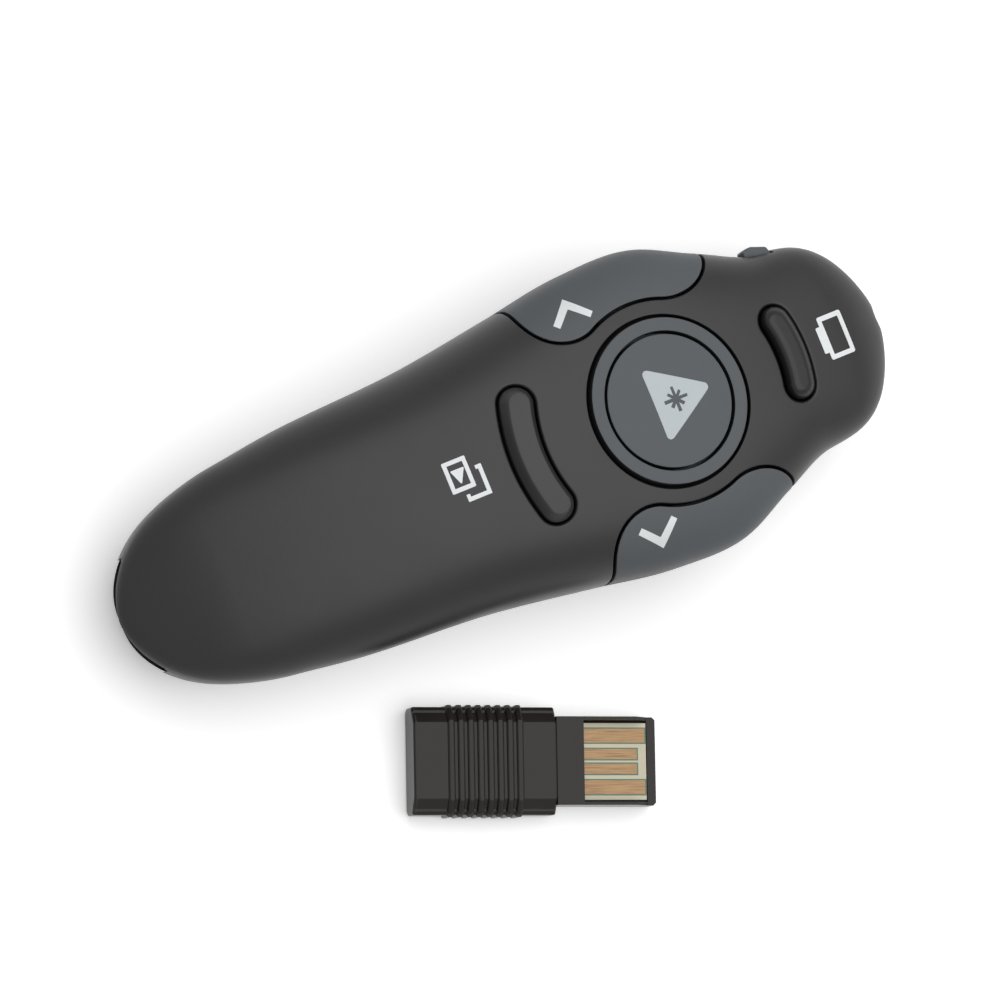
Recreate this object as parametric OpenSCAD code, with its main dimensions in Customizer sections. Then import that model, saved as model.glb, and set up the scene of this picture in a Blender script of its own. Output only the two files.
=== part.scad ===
// Wireless presentation clicker with a loose USB receiver.
// The origin lies on the flat underside, straight below the centre of the laser ring.
// +X runs along the body to the nose, +Y is to the left of the nose, +Z is up.

/* [Body] */
// From the ring centre to the tail tip
tail_len = 78; // [78:0.5:96]
// From the ring centre to the nose tip
nose_len = 36.2; // [34:0.1:44]
// Height of the crown above the flat underside
body_h = 25.6; // [24.5:0.1:32]
// How far behind the ring centre the crown lies
crown_back = 16; // [10:0.5:24]
// How far the arched back drops from the crown to the tail end
tail_drop = 12.8; // [10:0.1:13.5]
// Half width that the tail end is rounded from
tail_half_w = 15.6; // [14.5:0.1:18]
// Half width at the heel, where the tail is slimmest
heel_half_w = 14.5; // [14:0.1:17.5]
// Half width of the grip
grip_half_w = 16.4; // [15.5:0.1:20]
// Half width at the neck
neck_half_w = 17.6; // [16.5:0.1:21]
// Half width at the shoulder, behind the page buttons
shoulder_half_w = 19.6; // [18.5:0.1:23]
// Half width at the page buttons, the widest place
key_half_w = 21.4; // [20.5:0.1:25]
// Half width in front of the ring centre
brow_half_w = 21.1; // [20:0.1:24]
// Half width at the front end of the page buttons
cheek_half_w = 17.6; // [17:0.1:21]
// Half width at the power slider
snout_half_w = 14.4; // [14:0.1:17]
// Half width that the nose is rounded from
nose_half_w = 15.2; // [14.5:0.1:18]
// Length over which the tail is rounded
tail_round = 19.4; // [17:0.1:22]
// Length over which the nose is rounded
nose_round = 13.9; // [12:0.1:16]
// Height of the seam at the tail
seam_tail_h = 10.2; // [10.1:0.1:11]
// Height of the seam at the grip and the head
seam_h = 12; // [11.5:0.1:13]
// Wall of the two covers
wall = 1.6; // [1.3:0.1:2]

/* [Laser button and ring] */
// Angle by which the ring plane drops to the nose
ring_pitch = 7.2; // [4:0.1:10]
// Outer radius of the trim ring
ring_r = 11.3; // [9.4:0.1:11.8]
// Width of the trim ring
ring_w = 1.85; // [1.5:0.05:2.4]
// Height of the trim ring
ring_h = 2; // [1.6:0.1:2.4]
// Gap between the ring and the cover
ring_gap = 0.5; // [0.3:0.05:0.7]
// Gap between the laser button and the ring
button_gap = 0.4; // [0.3:0.05:0.6]
// Rise of the laser button's domed top
button_dome = 0.5; // [0.2:0.1:1]

/* [Page buttons] */
// Width of the cover's strip between the ring and a page button
strip_w = 2; // [1.6:0.1:3]
// Radius of the rear lobe of a page button
rear_lobe_r = 6; // [5:0.1:7]
// Radius of the front lobe of a page button
front_lobe_r = 8; // [7:0.1:9]
// Angle of the rear lobe's centre, back from straight out
rear_lobe_angle = 25.5; // [22:0.5:28]
// Angle of the front lobe's centre, forward from straight out
front_lobe_angle = 19.9; // [17:0.1:22]
// Gap round a page button
page_gap = 0.4; // [0.3:0.05:0.6]
// Wall of a page button
page_wall = 1.8; // [1.4:0.1:2.2]

/* [Bar keys] */
// Distance of the play key from the ring centre
play_r = 21.45; // [20.5:0.05:23]
// Half of the angle that the play key spans
play_span = 19.6; // [16:0.1:22]
// Width of the play key's slot
play_slot_w = 5.3; // [4.6:0.1:6]
// Distance of the blank key from the ring centre
blank_r = 19.65; // [18.8:0.05:20.5]
// Half of the angle that the blank key spans
blank_span = 13.2; // [10:0.1:15]
// Width of the blank key's slot
blank_slot_w = 4.9; // [4.4:0.1:5.4]
// Gap round a bar key
bar_gap = 0.45; // [0.3:0.05:0.6]
// Height of a bar key above the cover
bar_proud = 1.5; // [1:0.1:2]
// Width of the bevel along the top of a bar key
bar_bevel = 0.8; // [0.4:0.1:1.1]
// Travel of every button and key
travel = 0.5; // [0.3:0.05:0.6]

/* [Power slider] */
// Distance of the slider from the ring centre, at its front end
slider_x = 22.3; // [21.5:0.1:22.8]
// Length of the slider
slider_len = 4.2; // [3.6:0.1:5]
// Height of the slider
slider_h = 2.8; // [2.2:0.1:3.2]
// How far the slider stands out of the side
slider_proud = 0.9; // [0.5:0.1:1.4]
// Travel of the slider to the tail
slider_travel = 2.5; // [2:0.1:3]

/* [Batteries and door] */
// Diameter of a battery
cell_d = 10.5; // [8.7:0.1:11]
// Length of a battery
cell_len = 44.5; // [43:0.1:44.5]
// From the ring centre to the front end of the battery bay
cells_front = 6; // [6:0.1:8]
// Room for a contact spring at one end of a battery
contact_room = 2.6; // [2.2:0.1:2.6]
// Thickness of the battery door
door_t = 1.6; // [1.3:0.1:2]
// Half width of the door's narrow part
door_half_w = 11; // [10.8:0.1:11.4]
// Clearance round the door
door_gap = 0.25; // [0.2:0.05:0.4]

/* [Receiver] */
// Length of the receiver's housing
rx_len = 20; // [18:0.5:20]
// Width of the receiver's housing
rx_w = 15.2; // [12.6:0.1:16]
// Thickness of the receiver's housing
rx_t = 5.4; // [5:0.1:5.6]
// Width of the bevels along the housing's top
rx_bevel_w = 2.2; // [1:0.1:2.4]
// Height of the bevels along the housing's top
rx_bevel_h = 1.3; // [1:0.1:1.6]
// Length of the plug
plug_len = 14.3; // [12:0.1:14.3]
// Width of the plug
plug_w = 12; // [11.8:0.1:12]
// Thickness of the plug
plug_t = 4.5; // [4.3:0.1:4.5]
// Width of the rails along the plug's tray, at the bottom
rail_w = 0.7; // [0.5:0.1:1.6]
// Width of the rails at the top
rail_top_w = 0.4; // [0.4:0.1:1.2]
// Length of the plug's closed root
root_len = 3.8; // [2:0.1:4]
// Number of grip ribs
rib_count = 8; // [4:1:9]
// Spacing of the grip ribs
rib_pitch = 1.37; // [1.2:0.01:1.6]
// Clearance of the receiver in its bay
bay_gap = 0.4; // [0.3:0.05:0.6]
// Where the receiver's housing lies beside the clicker, along X and Y
rx_place = [-27.7, -39.2]; // [-60:0.1:60]
// How far the receiver is turned on the table
rx_turn = -22; // [-60:0.5:60]

/* [Electronics] */
// Thickness of the circuit boards
board_t = 1; // [0.8:0.1:1.2]
// Height of a push switch with its plunger
switch_h = 2.4; // [2.2:0.1:3]
// Radius of the laser barrel
barrel_r = 2.8; // [2.4:0.1:3]
// Length of the laser barrel
barrel_len = 13; // [11:0.5:14]
// Radius of the laser window
window_r = 2.2; // [1.8:0.1:2.4]

/* [Hidden] */
$fn = 64;

// ---- the body's outer form ----
station_x = [-tail_len, 12 - tail_len, 30 - tail_len, 48 - tail_len, -16, -4, 6, 14, 22, nose_len - 5.4];
station_w = [tail_half_w, heel_half_w, grip_half_w, neck_half_w, shoulder_half_w, key_half_w,
  brow_half_w, cheek_half_w, snout_half_w, nose_half_w];
seam_x = [-tail_len, 30 - tail_len, 0, nose_len];
seam_z = [seam_tail_h, seam_h, seam_h + 0.5, seam_h - 0.4];
crown_x = [-tail_len, 48 - tail_len, 0, nose_len];
crown_n = [2.4, 2.5, 2.9, 2.5];
arch_r = (tail_len - crown_back) ^ 2 / (2 * tail_drop);
belly_n = 2.8;
belly_drop = 3;         // the belly is rounded from this far below the flat underside
tail_rise = 14;         // length over which the tail end closes in height
nose_rise = 9;          // and the nose
loft_sides = 36;
end_steps = 6;
mid_steps = 13;
// Sections: close together round the two ends, evenly spaced between them
section_x = concat(
  [for (i = [1:end_steps]) -tail_len + tail_round * (1 - cos(i == 1 ? 7 : 90 * i / end_steps))],
  [for (i = [1:mid_steps - 1]) tail_round - tail_len
    + (tail_len + nose_len - tail_round - nose_round) * i / mid_steps],
  [for (i = [end_steps:-1:1]) nose_len - nose_round * (1 - cos(i == 1 ? 7 : 90 * i / end_steps))]);

// Slope of a curve through the stations at station i
function slope(xs, vs, i) =
  i == 0 ? (vs[1] - vs[0]) / (xs[1] - xs[0]) :
  i == len(xs) - 1 ? (vs[i] - vs[i - 1]) / (xs[i] - xs[i - 1]) :
  let (a = xs[i] - xs[i - 1], b = xs[i + 1] - xs[i])
  (a * a * (vs[i + 1] - vs[i]) + b * b * (vs[i] - vs[i - 1])) / (a * b * (a + b));
// Smooth curve through the stations
function spline(xs, vs, x) =
  let (n = len(xs), i = max(0, min(n - 2, len([for (s = xs) if (s < x) s]) - 1)),
    h = xs[i + 1] - xs[i], t = (x - xs[i]) / h)
  (2 * t ^ 3 - 3 * t ^ 2 + 1) * vs[i] + (t ^ 3 - 2 * t ^ 2 + t) * h * slope(xs, vs, i)
  + (3 * t ^ 2 - 2 * t ^ 3) * vs[i + 1] + (t ^ 3 - t ^ 2) * h * slope(xs, vs, i + 1);
// Rounded end: 0 at the tip and 1 from the length on
function rounded(d, length, n) = let (s = min(1, max(0, d / length))) (1 - (1 - s) ^ 2) ^ (1 / n);

function half_w(x) = spline(station_x, station_w, x)
  * rounded(x + tail_len, tail_round, 1.7) * rounded(nose_len - x, nose_round, 1.8);
function closing(x) = rounded(x + tail_len, tail_rise, 2.2) * rounded(nose_len - x, nose_rise, 2.2);
function seam(x) = spline(seam_x, seam_z, x);
function crown(x) = seam(x) + (body_h - (x + crown_back) ^ 2 / (2 * arch_r) - seam(x)) * closing(x);
function belly(x) = seam(x) - (seam(x) + belly_drop) * closing(x);
function power(v, p) = sign(v) * abs(v) ^ p;
// Factors that set the form in by t, across, upwards, downwards and lengthwise
function in_w(t) = 1 - t / key_half_w;
function in_up(t) = 1 - t / (body_h - seam_h);
function in_down(t) = 1 - t / (seam_h + belly_drop);
function in_x(t) = 1 - t / ((tail_len + nose_len) / 2);
// Height of the form, in by t, over a point of the plan
function top_z(x, y, t = 0) = let (n = spline(crown_x, crown_n, x))
  seam(x) + (crown(x) - seam(x)) * in_up(t) * max(0, 1 - (abs(y) / (half_w(x) * in_w(t))) ^ n) ^ (1 / n);
// Half width of the form, in by t, at a height above the seam
function width_at(x, z, t = 0) = let (n = spline(crown_x, crown_n, x))
  half_w(x) * in_w(t) * max(0, 1 - (max(0, z - seam(x)) / ((crown(x) - seam(x)) * in_up(t))) ^ n) ^ (1 / n);

// One cross-section of the form, in by t all round
function section(x, t) =
  let (w = half_w(x) * in_w(t), up = (crown(x) - seam(x)) * in_up(t), down = (seam(x) - belly(x)) * in_down(t),
    n = spline(crown_x, crown_n, x), mid = (nose_len - tail_len) / 2)
  [for (i = [0:loft_sides - 1]) let (a = 360 * i / loft_sides, c = cos(a), s = sin(a))
    [mid + (x - mid) * in_x(t), w * power(c, s >= 0 ? 2 / n : 2 / belly_n),
      seam(x) + (s >= 0 ? up * power(s, 2 / n) : down * power(s, 2 / belly_n))]];

// Closed loft through the sections from x0 to x1, in by t all round
module form(t = 0, x0 = -tail_len, x1 = nose_len) {
  xs = [for (x = section_x) if (x >= x0 && x <= x1) x];
  last = (len(xs) - 1) * loft_sides;
  rings = [for (x = xs) section(x, t)];
  points = [for (r = rings) each r];
  sides = [for (j = [0:len(xs) - 2], i = [0:loft_sides - 1])
    let (k = (i + 1) % loft_sides, a = j * loft_sides, b = a + loft_sides)
    each [[a + i, b + i, b + k], [a + i, b + k, a + k]]];
  polyhedron(points, concat([[for (i = [0:loft_sides - 1]) i]], sides,
    [[for (i = [loft_sides - 1:-1:0]) last + i]]));
}

// Region above the seam, raised by up
module above_seam(up = 0) {
  steps = 16;
  line = [for (i = [0:steps]) let (x = -tail_len + (tail_len + nose_len) * i / steps) [x, seam(x) + up]];
  rotate([90, 0, 0]) linear_extrude(2 * body_h, center = true)
    polygon(concat([[-tail_len - 5, 3 * body_h], [-tail_len - 5, line[0][1]]], line,
      [[nose_len + 5, line[steps][1]], [nose_len + 5, 3 * body_h]]));
}
// Block between two X values, two heights and y on each side of the middle
module block(x0, x1, y, z0, z1) translate([x0, -y, z0]) cube([x1 - x0, 2 * y, z1 - z0]);
module both_sides() { children(); mirror([0, 1, 0]) children(); }

// ---- ring, laser button and their hole, along the ring's own axis ----
ring_z = body_h - crown_back ^ 2 / (2 * arch_r) - 0.1;
hole_r = ring_r + ring_gap;
ring_in_r = ring_r - ring_w;
button_r = ring_in_r - button_gap;
ledge_r = ring_in_r + 0.85;
ledge_t = 1.2;
flange_r = ring_in_r + 0.45;
flange_t = 0.6;
play = 0.3;             // clearance between pieces that press or slide
press_gap = travel + 0.1;
module on_ring() translate([0, 0, ring_z]) rotate([0, ring_pitch, 0]) children();
module disc(r, z0, z1) translate([0, 0, z0]) cylinder(r = r, h = z1 - z0);

// ---- page buttons ----
hump_r = hole_r + strip_w + page_gap / 2;
// Edge line of the left page button in the plan, moved out by d
function arc(c, r, a0, a1, n) = [for (i = [0:n]) let (a = a0 + (a1 - a0) * i / n) c + r * [cos(a), sin(a)]];
function page_edge(d) =
  let (rear = 90 + rear_lobe_angle, front = 90 - front_lobe_angle,
    rear_c = (hump_r + rear_lobe_r) * [cos(rear), sin(rear)],
    front_c = (hump_r + front_lobe_r) * [cos(front), sin(front)], far = key_half_w + 8)
  concat([[rear_c[0] - rear_lobe_r - d, far]],
    arc(rear_c, rear_lobe_r + d, 180, rear + 180, 8),
    arc([0, 0], hump_r - d, rear - 4, front + 4, 7),
    arc(front_c, front_lobe_r + d, front - 180, 0, 8),
    [[front_c[0] + front_lobe_r + d, far]]);
module page_prism(d) translate([0, 0, -1]) linear_extrude(2 * body_h) polygon(page_edge(d));
page_stem_r = 1.3;
page_switch = [-1, hump_r + page_stem_r + 0.1];       // where a page button presses
page_rim = travel + 0.4;
page_x0 = -28;
page_x1 = 24;

// ---- bar keys: arcs about the ring centre ----
module bar_slot(r, span, w, z0) {
  translate([0, 0, z0]) {
    rotate(-span) rotate_extrude(angle = 2 * span) translate([r - w / 2, 0]) square([w, body_h]);
    for (a = [-span, span]) rotate(a) translate([r, 0]) cylinder(d = w, h = body_h);
  }
}
// Outline of a bar in the plan, half as wide as w, starting at the outer arc's first end
function bar_line(r, span, w, n) = concat(
  arc([0, 0], r + w / 2, -span, span, n),
  [for (i = [1:n - 1]) let (a = span + 180 * i / n) r * [cos(span), sin(span)] + w / 2 * [cos(a), sin(a)]],
  [for (i = [n:-1:0]) let (a = -span + 2 * span * i / n) (r - w / 2) * [cos(a), sin(a)]],
  [for (i = [1:n - 1]) let (a = 180 - span + 180 * i / n)
    r * [cos(span), -sin(span)] + w / 2 * [cos(a), sin(a)]]);
// Bar key whose top follows the cover, turned by side (0 to the nose, 180 to the tail)
module bar_key(r, span, w, z0, side) {
  n = 8;
  flip = cos(side);
  layers = [[0, -99], [0, bar_proud - bar_bevel], [0.3 * bar_bevel, bar_proud - 0.3 * bar_bevel],
    [bar_bevel, bar_proud]];
  rings = [for (l = layers) [for (p = bar_line(r, span, w - 2 * l[0], n))
    [p[0] * flip, p[1] * flip, l[1] < 0 ? z0 : top_z(p[0] * flip, p[1]) + l[1]]]];
  k = len(rings[0]);
  top = (len(layers) - 1) * k;
  points = [for (q = rings) each q];
  walls = [for (j = [0:len(layers) - 2], i = [0:k - 1]) let (m = (i + 1) % k, a = j * k, b = a + k)
    each [[a + i, b + i, b + m], [a + i, b + m, a + m]]];
  polyhedron(points, concat(walls, bar_cap(n, 0, true), bar_cap(n, top, false)));
}
// Triangles that close a bar's outline, whose points start at first
function bar_cap(n, first, under) =
  let (k = 4 * n, long = [for (i = [0:n - 1]) let (a = i, b = i + 1, c = 3 * n - i - 1, d = 3 * n - i)
      each [[a, b, c], [a, c, d]]],
    far_end = [for (i = [n:2 * n - 2]) [i, i + 1, 2 * n]],
    near_end = [for (i = [3 * n:4 * n - 2]) [i, i + 1, 0]])
  [for (t = concat(long, far_end, near_end)) let (q = [for (v = t) first + v]) under ? q : [q[0], q[2], q[1]]];

// ---- lengthwise layout, from the tail: receiver bay, bulkhead, batteries, laser ----
rx_total = rx_len + plug_len;
bay_end = -tail_len + rx_total + 0.3;
bay_half_w = rx_w / 2 + bay_gap;
mouth_x = 1.25 * bay_half_w - tail_len;         // the bay is open upwards behind this
bulkhead_t = 1.6;
nub_room = 0.7;                 // for the flat contact at a battery's other end
cells_x1 = cells_front;
cells_x0 = cells_x1 - cell_len - contact_room - nub_room;
door_top = door_t + door_gap;
bay_floor = door_top + 1.75;
bay_top = bay_floor + rx_t + 2 * bay_gap;
side_t = 1.2;
cell_gap = 0.3;
cell_y = cell_d / 2 + cell_gap / 2;
cell_z = door_top + cell_gap + cell_d / 2;
cells_half_w = cell_d + 1.5 * cell_gap;
cells_top = cell_z + cell_d / 2 + cell_gap;
board_z = cells_top + side_t + 0.6;
board_top = board_z + board_t;
switch_top = board_top + switch_h;
door_front = cells_x1 + 1.4;
door_wide_x = bay_end;          // the door takes the whole underside behind this
tongue = [0.9, 0.9];            // how far the door's tongues stand out, and their height above the table
cells_wall_y = max(cells_half_w + side_t, door_half_w + tongue[0] + door_gap + 1);
laser_z = min(seam(nose_len), board_z - barrel_r - 0.3);
laser_x1 = nose_len - 5;
rear_screw = [bay_end - 3.6, bay_half_w + side_t + 2.5];
front_screw = [door_front + 6.5, 6.6];
boss_r = 2.1;
screw_r = 1;
screw_clear = 0.08;
screw_head = [1.9, 1.1];        // radius and height
boss_z = seam(0) - 1.5;         // where the covers' bosses meet
screw_top = boss_z + 5;

module boss_holes(head_z) {
  disc(screw_r + screw_clear, -1, screw_top + 0.5);
  disc(screw_head[0] + 0.15, -1, head_z + screw_head[1]);
}
module at_screws() {
  both_sides() translate(rear_screw) children(0);
  both_sides() translate(front_screw) children(1);
}

// ---- covers ----
slider_z = seam(slider_x) + play;
slider_wall_y = half_w(slider_x);
slide_switch_y = slider_wall_y - 5.8;
slide_lever_z = board_z - 1.7;
laser_stem = (ring_z - switch_top - press_gap) / cos(ring_pitch) - 2 * sin(ring_pitch);
plate_t = 0.4;
cover_color = "#3e3e40";
key_color = "#5c5f62";
module window_bore(r) translate([nose_len - 6, 0, laser_z]) rotate([0, 90, 0]) cylinder(r = r, h = 8);

module top_cover() color(cover_color) difference() {
  union() {
    difference() {
      intersection() {
        form();
        above_seam();
      }
      form(wall);
    }
    on_ring() disc(hole_r + 1.6, -ring_h - ledge_t, -1.5);
    at_screws() {
      disc(boss_r, boss_z, top_z(rear_screw[0] - boss_r, rear_screw[1] + boss_r) - wall / 2);
      disc(boss_r, boss_z, top_z(front_screw[0] + boss_r, front_screw[1] + boss_r) - wall / 2);
    }
  }
  on_ring() {
    disc(hole_r, -ring_h, 6);
    disc(ledge_r, -ring_h - ledge_t - 1, 0);
  }
  at_screws() {
    disc(screw_r + screw_clear, 0, screw_top + 0.5);
    disc(screw_r + screw_clear, 0, screw_top + 0.5);
  }
  both_sides() page_prism(page_gap / 2);
  rotate(180) bar_slot(play_r, play_span, play_slot_w, board_top);
  bar_slot(blank_r, blank_span, blank_slot_w, board_top);
  translate([slider_x - slider_len / 2 - slider_travel - play, slider_wall_y - 4, 0])
    cube([slider_len + slider_travel + 2 * play, 8, slider_z + slider_h + play]);
  window_bore(window_r + 0.05);
}

// Lips behind the page buttons' lower edges, which close the gap that their travel needs
module page_lips() difference() {
  union() {
    intersection() {
      form(wall * 0.7, page_x0, page_x1);
      both_sides() page_prism(page_gap);
      difference() {
        above_seam(-3);
        above_seam(-0.2);
      }
    }
    intersection() {
      form(page_wall + 0.5, page_x0, page_x1);
      both_sides() page_prism(-page_gap / 2);
      difference() {
        above_seam(-3);
        above_seam(page_rim + 1);
      }
    }
  }
  form(page_wall + 1.4, page_x0, page_x1);
}

module door_plan(gap) {
  block(-tail_len - 1, door_wide_x + gap, key_half_w, -1, door_top - door_gap + gap);
  block(door_wide_x - 1, door_front + gap, door_half_w + gap, -1, door_top - door_gap + gap);
}
module door_tongues(gap) block(door_wide_x - 1, door_front - 4 + gap, door_half_w + tongue[0] + gap,
  tongue[1] - gap, door_top - door_gap + gap);

module bottom_cover() color(cover_color) difference() {
  union() {
    difference() {
      form();
      above_seam();
      difference() {
        form(wall);
        block(-tail_len, bay_end + bulkhead_t, key_half_w, -9, bay_floor);
        block(bay_end, nose_len, key_half_w, -9, door_top);
      }
    }
    block(mouth_x, bay_end + bulkhead_t, bay_half_w + side_t, bay_floor - 1, bay_top + side_t);
    block(cells_x0 - bulkhead_t, cells_x1 + side_t, cells_wall_y, door_top - 0.5, cells_top + side_t);
    both_sides() for (x = [4 - play_r, cells_x1 - 4]) translate([x, 8]) disc(1.5, cells_top, board_z);
    both_sides() translate([front_screw[0] + 11.7, barrel_r + 1.8]) disc(1.2, door_top - 0.5, board_z);
    page_lips();
    at_screws() {
      disc(boss_r, door_top, boss_z);
      disc(boss_r, door_top - 0.5, boss_z);
    }
    for (x = [laser_x1 - 2.5, laser_x1 - barrel_len + 1.5])
      block(x, x + 1.5, barrel_r + 1, door_top - 0.5, laser_z);
  }
  block(-tail_len - 1, nose_len + 1, key_half_w + 9, -9, 0);
  door_plan(door_gap);
  door_tongues(door_gap);
  block(-tail_len - 1, bay_end, bay_half_w, bay_floor, bay_top);
  block(-tail_len - 1, mouth_x, bay_half_w, bay_floor, 2 * bay_top);
  block(cells_x0, cells_x1, cells_half_w, -1, cells_top);
  at_screws() {
    boss_holes(door_top);
    boss_holes(0.6);
  }
  translate([laser_x1 - barrel_len - 1, 0, laser_z]) rotate([0, 90, 0])
    cylinder(r = barrel_r + 0.04, h = barrel_len + 3);
  window_bore(window_r + 0.05);
}

module battery_door() color(cover_color) difference() {
  union() {
    intersection() {
      form();
      door_plan(0);
    }
    door_tongues(0);
  }
  block(-tail_len - 1, nose_len, key_half_w + 9, -9, 0);
  // thumb recess with ribs left standing
  translate([door_front - 12, 0, -14.2]) difference() {
    sphere(r = 15, $fn = 96);
    for (i = [-2:2]) translate([i * 2 - 0.4, -10, 0]) cube([0.8, 20, 20]);
  }
}

module trim_ring() color(key_color) on_ring() difference() {
  disc(ring_r, -ring_h, 0);
  disc(ring_in_r, -ring_h - 1, 1);
}

module laser_button() color(key_color) on_ring() {
  dome_r = (button_r ^ 2 + button_dome ^ 2) / (2 * button_dome);
  intersection() {
    disc(button_r, -ring_h - play - flange_t, button_dome);
    translate([0, 0, button_dome - 0.1 - dome_r]) sphere(r = dome_r, $fn = 256);
  }
  disc(flange_r, -ring_h - play - flange_t, -ring_h - play);
  disc(2, -laser_stem, -ring_h);
}

module page_button() color(key_color) {
  difference() {
    intersection() {
      form(0, page_x0, page_x1);
      page_prism(-page_gap / 2);
      above_seam(page_rim);
    }
    form(page_wall, page_x0, page_x1);
  }
  translate(page_switch)
    disc(page_stem_r, switch_top + press_gap, top_z(page_switch[0], page_switch[1] + page_stem_r) - 0.3);
}
module page_back_button() page_button();
module page_forward_button() mirror([0, 1, 0]) page_button();

key_foot = switch_top + press_gap;
// Round ears under the cover that keep a bar key in its slot
module bar_ears(r, span, w, side) {
  ear_r = w / 2 + 0.35;
  ear_t = 0.8;
  c = r * [cos(span), sin(span)];
  // lowest place of the cover's inside over the ear
  top = min([for (a = [0:30:330]) top_z((c[0] + ear_r * cos(a)) * cos(side), c[1] + ear_r * sin(a), wall)]) - play;
  rotate(side) both_sides() translate(c) {
    disc(ear_r, top - ear_t, top);
    disc(w / 2 - bar_gap - 0.3, top - ear_t, top + 1);
  }
}
module play_key() color(cover_color) {
  bar_key(play_r, play_span, play_slot_w - 2 * bar_gap, crown(-play_r) - wall - 1.8, 180);
  bar_ears(play_r, play_span, play_slot_w, 180);
  translate([-play_r, 0]) disc(1.6, key_foot, crown(-play_r) - wall - 1);
}
module blank_key() color(cover_color) {
  bar_key(blank_r, blank_span, blank_slot_w - 2 * bar_gap, key_foot, 0);
  bar_ears(blank_r, blank_span, blank_slot_w, 0);
}

module power_slider() color(key_color) {
  y_out = slider_wall_y + slider_proud;
  z0 = slider_z;
  x_back = 1.2 - slider_len / 2;   // the outer face follows the narrowing wall
  x_front = slider_len / 2 - 0.75;
  translate([slider_x, 0, z0]) linear_extrude(slider_h) polygon([
    [-slider_len / 2, slider_wall_y - 4.6], [slider_len / 2, slider_wall_y - 4.6],
    [slider_len / 2, y_out - 2.4], [x_front, y_out - 0.36 * (x_front - x_back)],
    [x_back, y_out], [-slider_len / 2, y_out - 0.25]]);
  translate([slider_x - slider_len / 2 - slider_travel, slider_wall_y - 5.3, z0 - 0.7])
    cube([slider_len + 2 * slider_travel, 0.8, slider_h + 1.4]);
  translate([slider_x - 0.6, slide_switch_y - 1.5, slide_lever_z])
    cube([1.2, slider_wall_y - slide_switch_y - 2.5, 1]);
}

module slide_switch() color("silver") difference() {
  translate([slider_x - slider_travel - 2.6, slide_switch_y - 3, board_z - 2.6])
    cube([5.2 + slider_travel, 3, 2.6]);
  translate([slider_x - 0.6 - slider_travel - play, slide_switch_y - 2, slide_lever_z - play])
    cube([1.2 + slider_travel + 2 * play, 3, 1 + 2 * play]);
}

// ---- electronics ----
module main_board() color("#1f6b3a") {
  wide = page_switch[1] + 2.4;
  // a low board ends short of the page buttons' lips
  side = board_z < seam(0) + page_rim + 1 + play ? page_wall + 1.4 + play : wall;
  line = [[-play_r - 5.5, 11], [-14, wide - 2.3], [-11, wide], [6, wide], [12.6, 8.5], [27, 8]];
  half = [for (p = line) [p[0], min(p[1], width_at(p[0], board_top, side) - 0.5)]];
  difference() {
    translate([0, 0, board_z]) linear_extrude(board_t)
      polygon(concat(half, [for (i = [len(half) - 1:-1:0]) [half[i][0], -half[i][1]]]));
    both_sides() translate(front_screw) disc(boss_r + 0.4, board_z - 1, board_top + 1);
  }
}
laser_switch_x = -laser_stem * sin(ring_pitch);
module push_switch(p) translate([p[0], p[1], board_top]) {
  translate([-2.2, -2.2, 0]) cube([4.4, 4.4, switch_h - 0.8]);
  disc(1.2, 0, switch_h);
}
module push_switches() color("#2b2b2d") {
  push_switch([laser_switch_x, 0]);
  both_sides() push_switch(page_switch);
  push_switch([-play_r, 0]);
  push_switch([blank_r, 0]);
}
module board_chips() color("#202022") {
  translate([-10, 4.5, board_top]) cube([5, 5, 0.9]);
  translate([-11, -8.5, board_top]) cube([6.5, 4.4, 1.2]);
  translate([6, -7.5, board_top]) cube([3.2, 2.5, 0.8]);
}
module laser_barrel() color("#b58a3c") translate([laser_x1 - barrel_len, 0, laser_z]) rotate([0, 90, 0])
  difference() {
    cylinder(r = barrel_r, h = barrel_len);
    translate([0, 0, barrel_len - 1.5]) cylinder(r = barrel_r - 0.9, h = 2);
  }
module laser_window() color("#5a1414") translate([nose_len - 3.2, 0, laser_z]) rotate([0, 90, 0])
  cylinder(r = window_r, h = 1.2);

// ---- batteries and contacts ----
module cell(x, y, forward) translate([x + (forward ? 0 : cell_len), y, cell_z])
  rotate([0, forward ? 90 : -90, 0]) rotate_extrude() polygon([
    [0, 0], [cell_d / 2 - 0.6, 0], [cell_d / 2, 0.6], [cell_d / 2, cell_len - 1.6],
    [cell_d / 2 - 0.6, cell_len - 1], [1.9, cell_len - 1], [1.9, cell_len], [0, cell_len]]);
module battery_left() color("#8a8d90") cell(cells_x0 + contact_room, cell_y, true);
module battery_right() color("#8a8d90") cell(cells_x0 + nub_room, -cell_y, false);

module contact_plates() color("#c9ccd0") {
  plate_h = cell_d - 1;
  z = cell_z - plate_h / 2;
  for (s = [-1, 1]) translate([cells_x0, s * cell_y - 4, z]) cube([plate_t, 8, plate_h]);
  translate([cells_x1 - plate_t, -cell_y - 4, z]) cube([plate_t, 2 * cell_y + 8, plate_h]);
}
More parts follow.
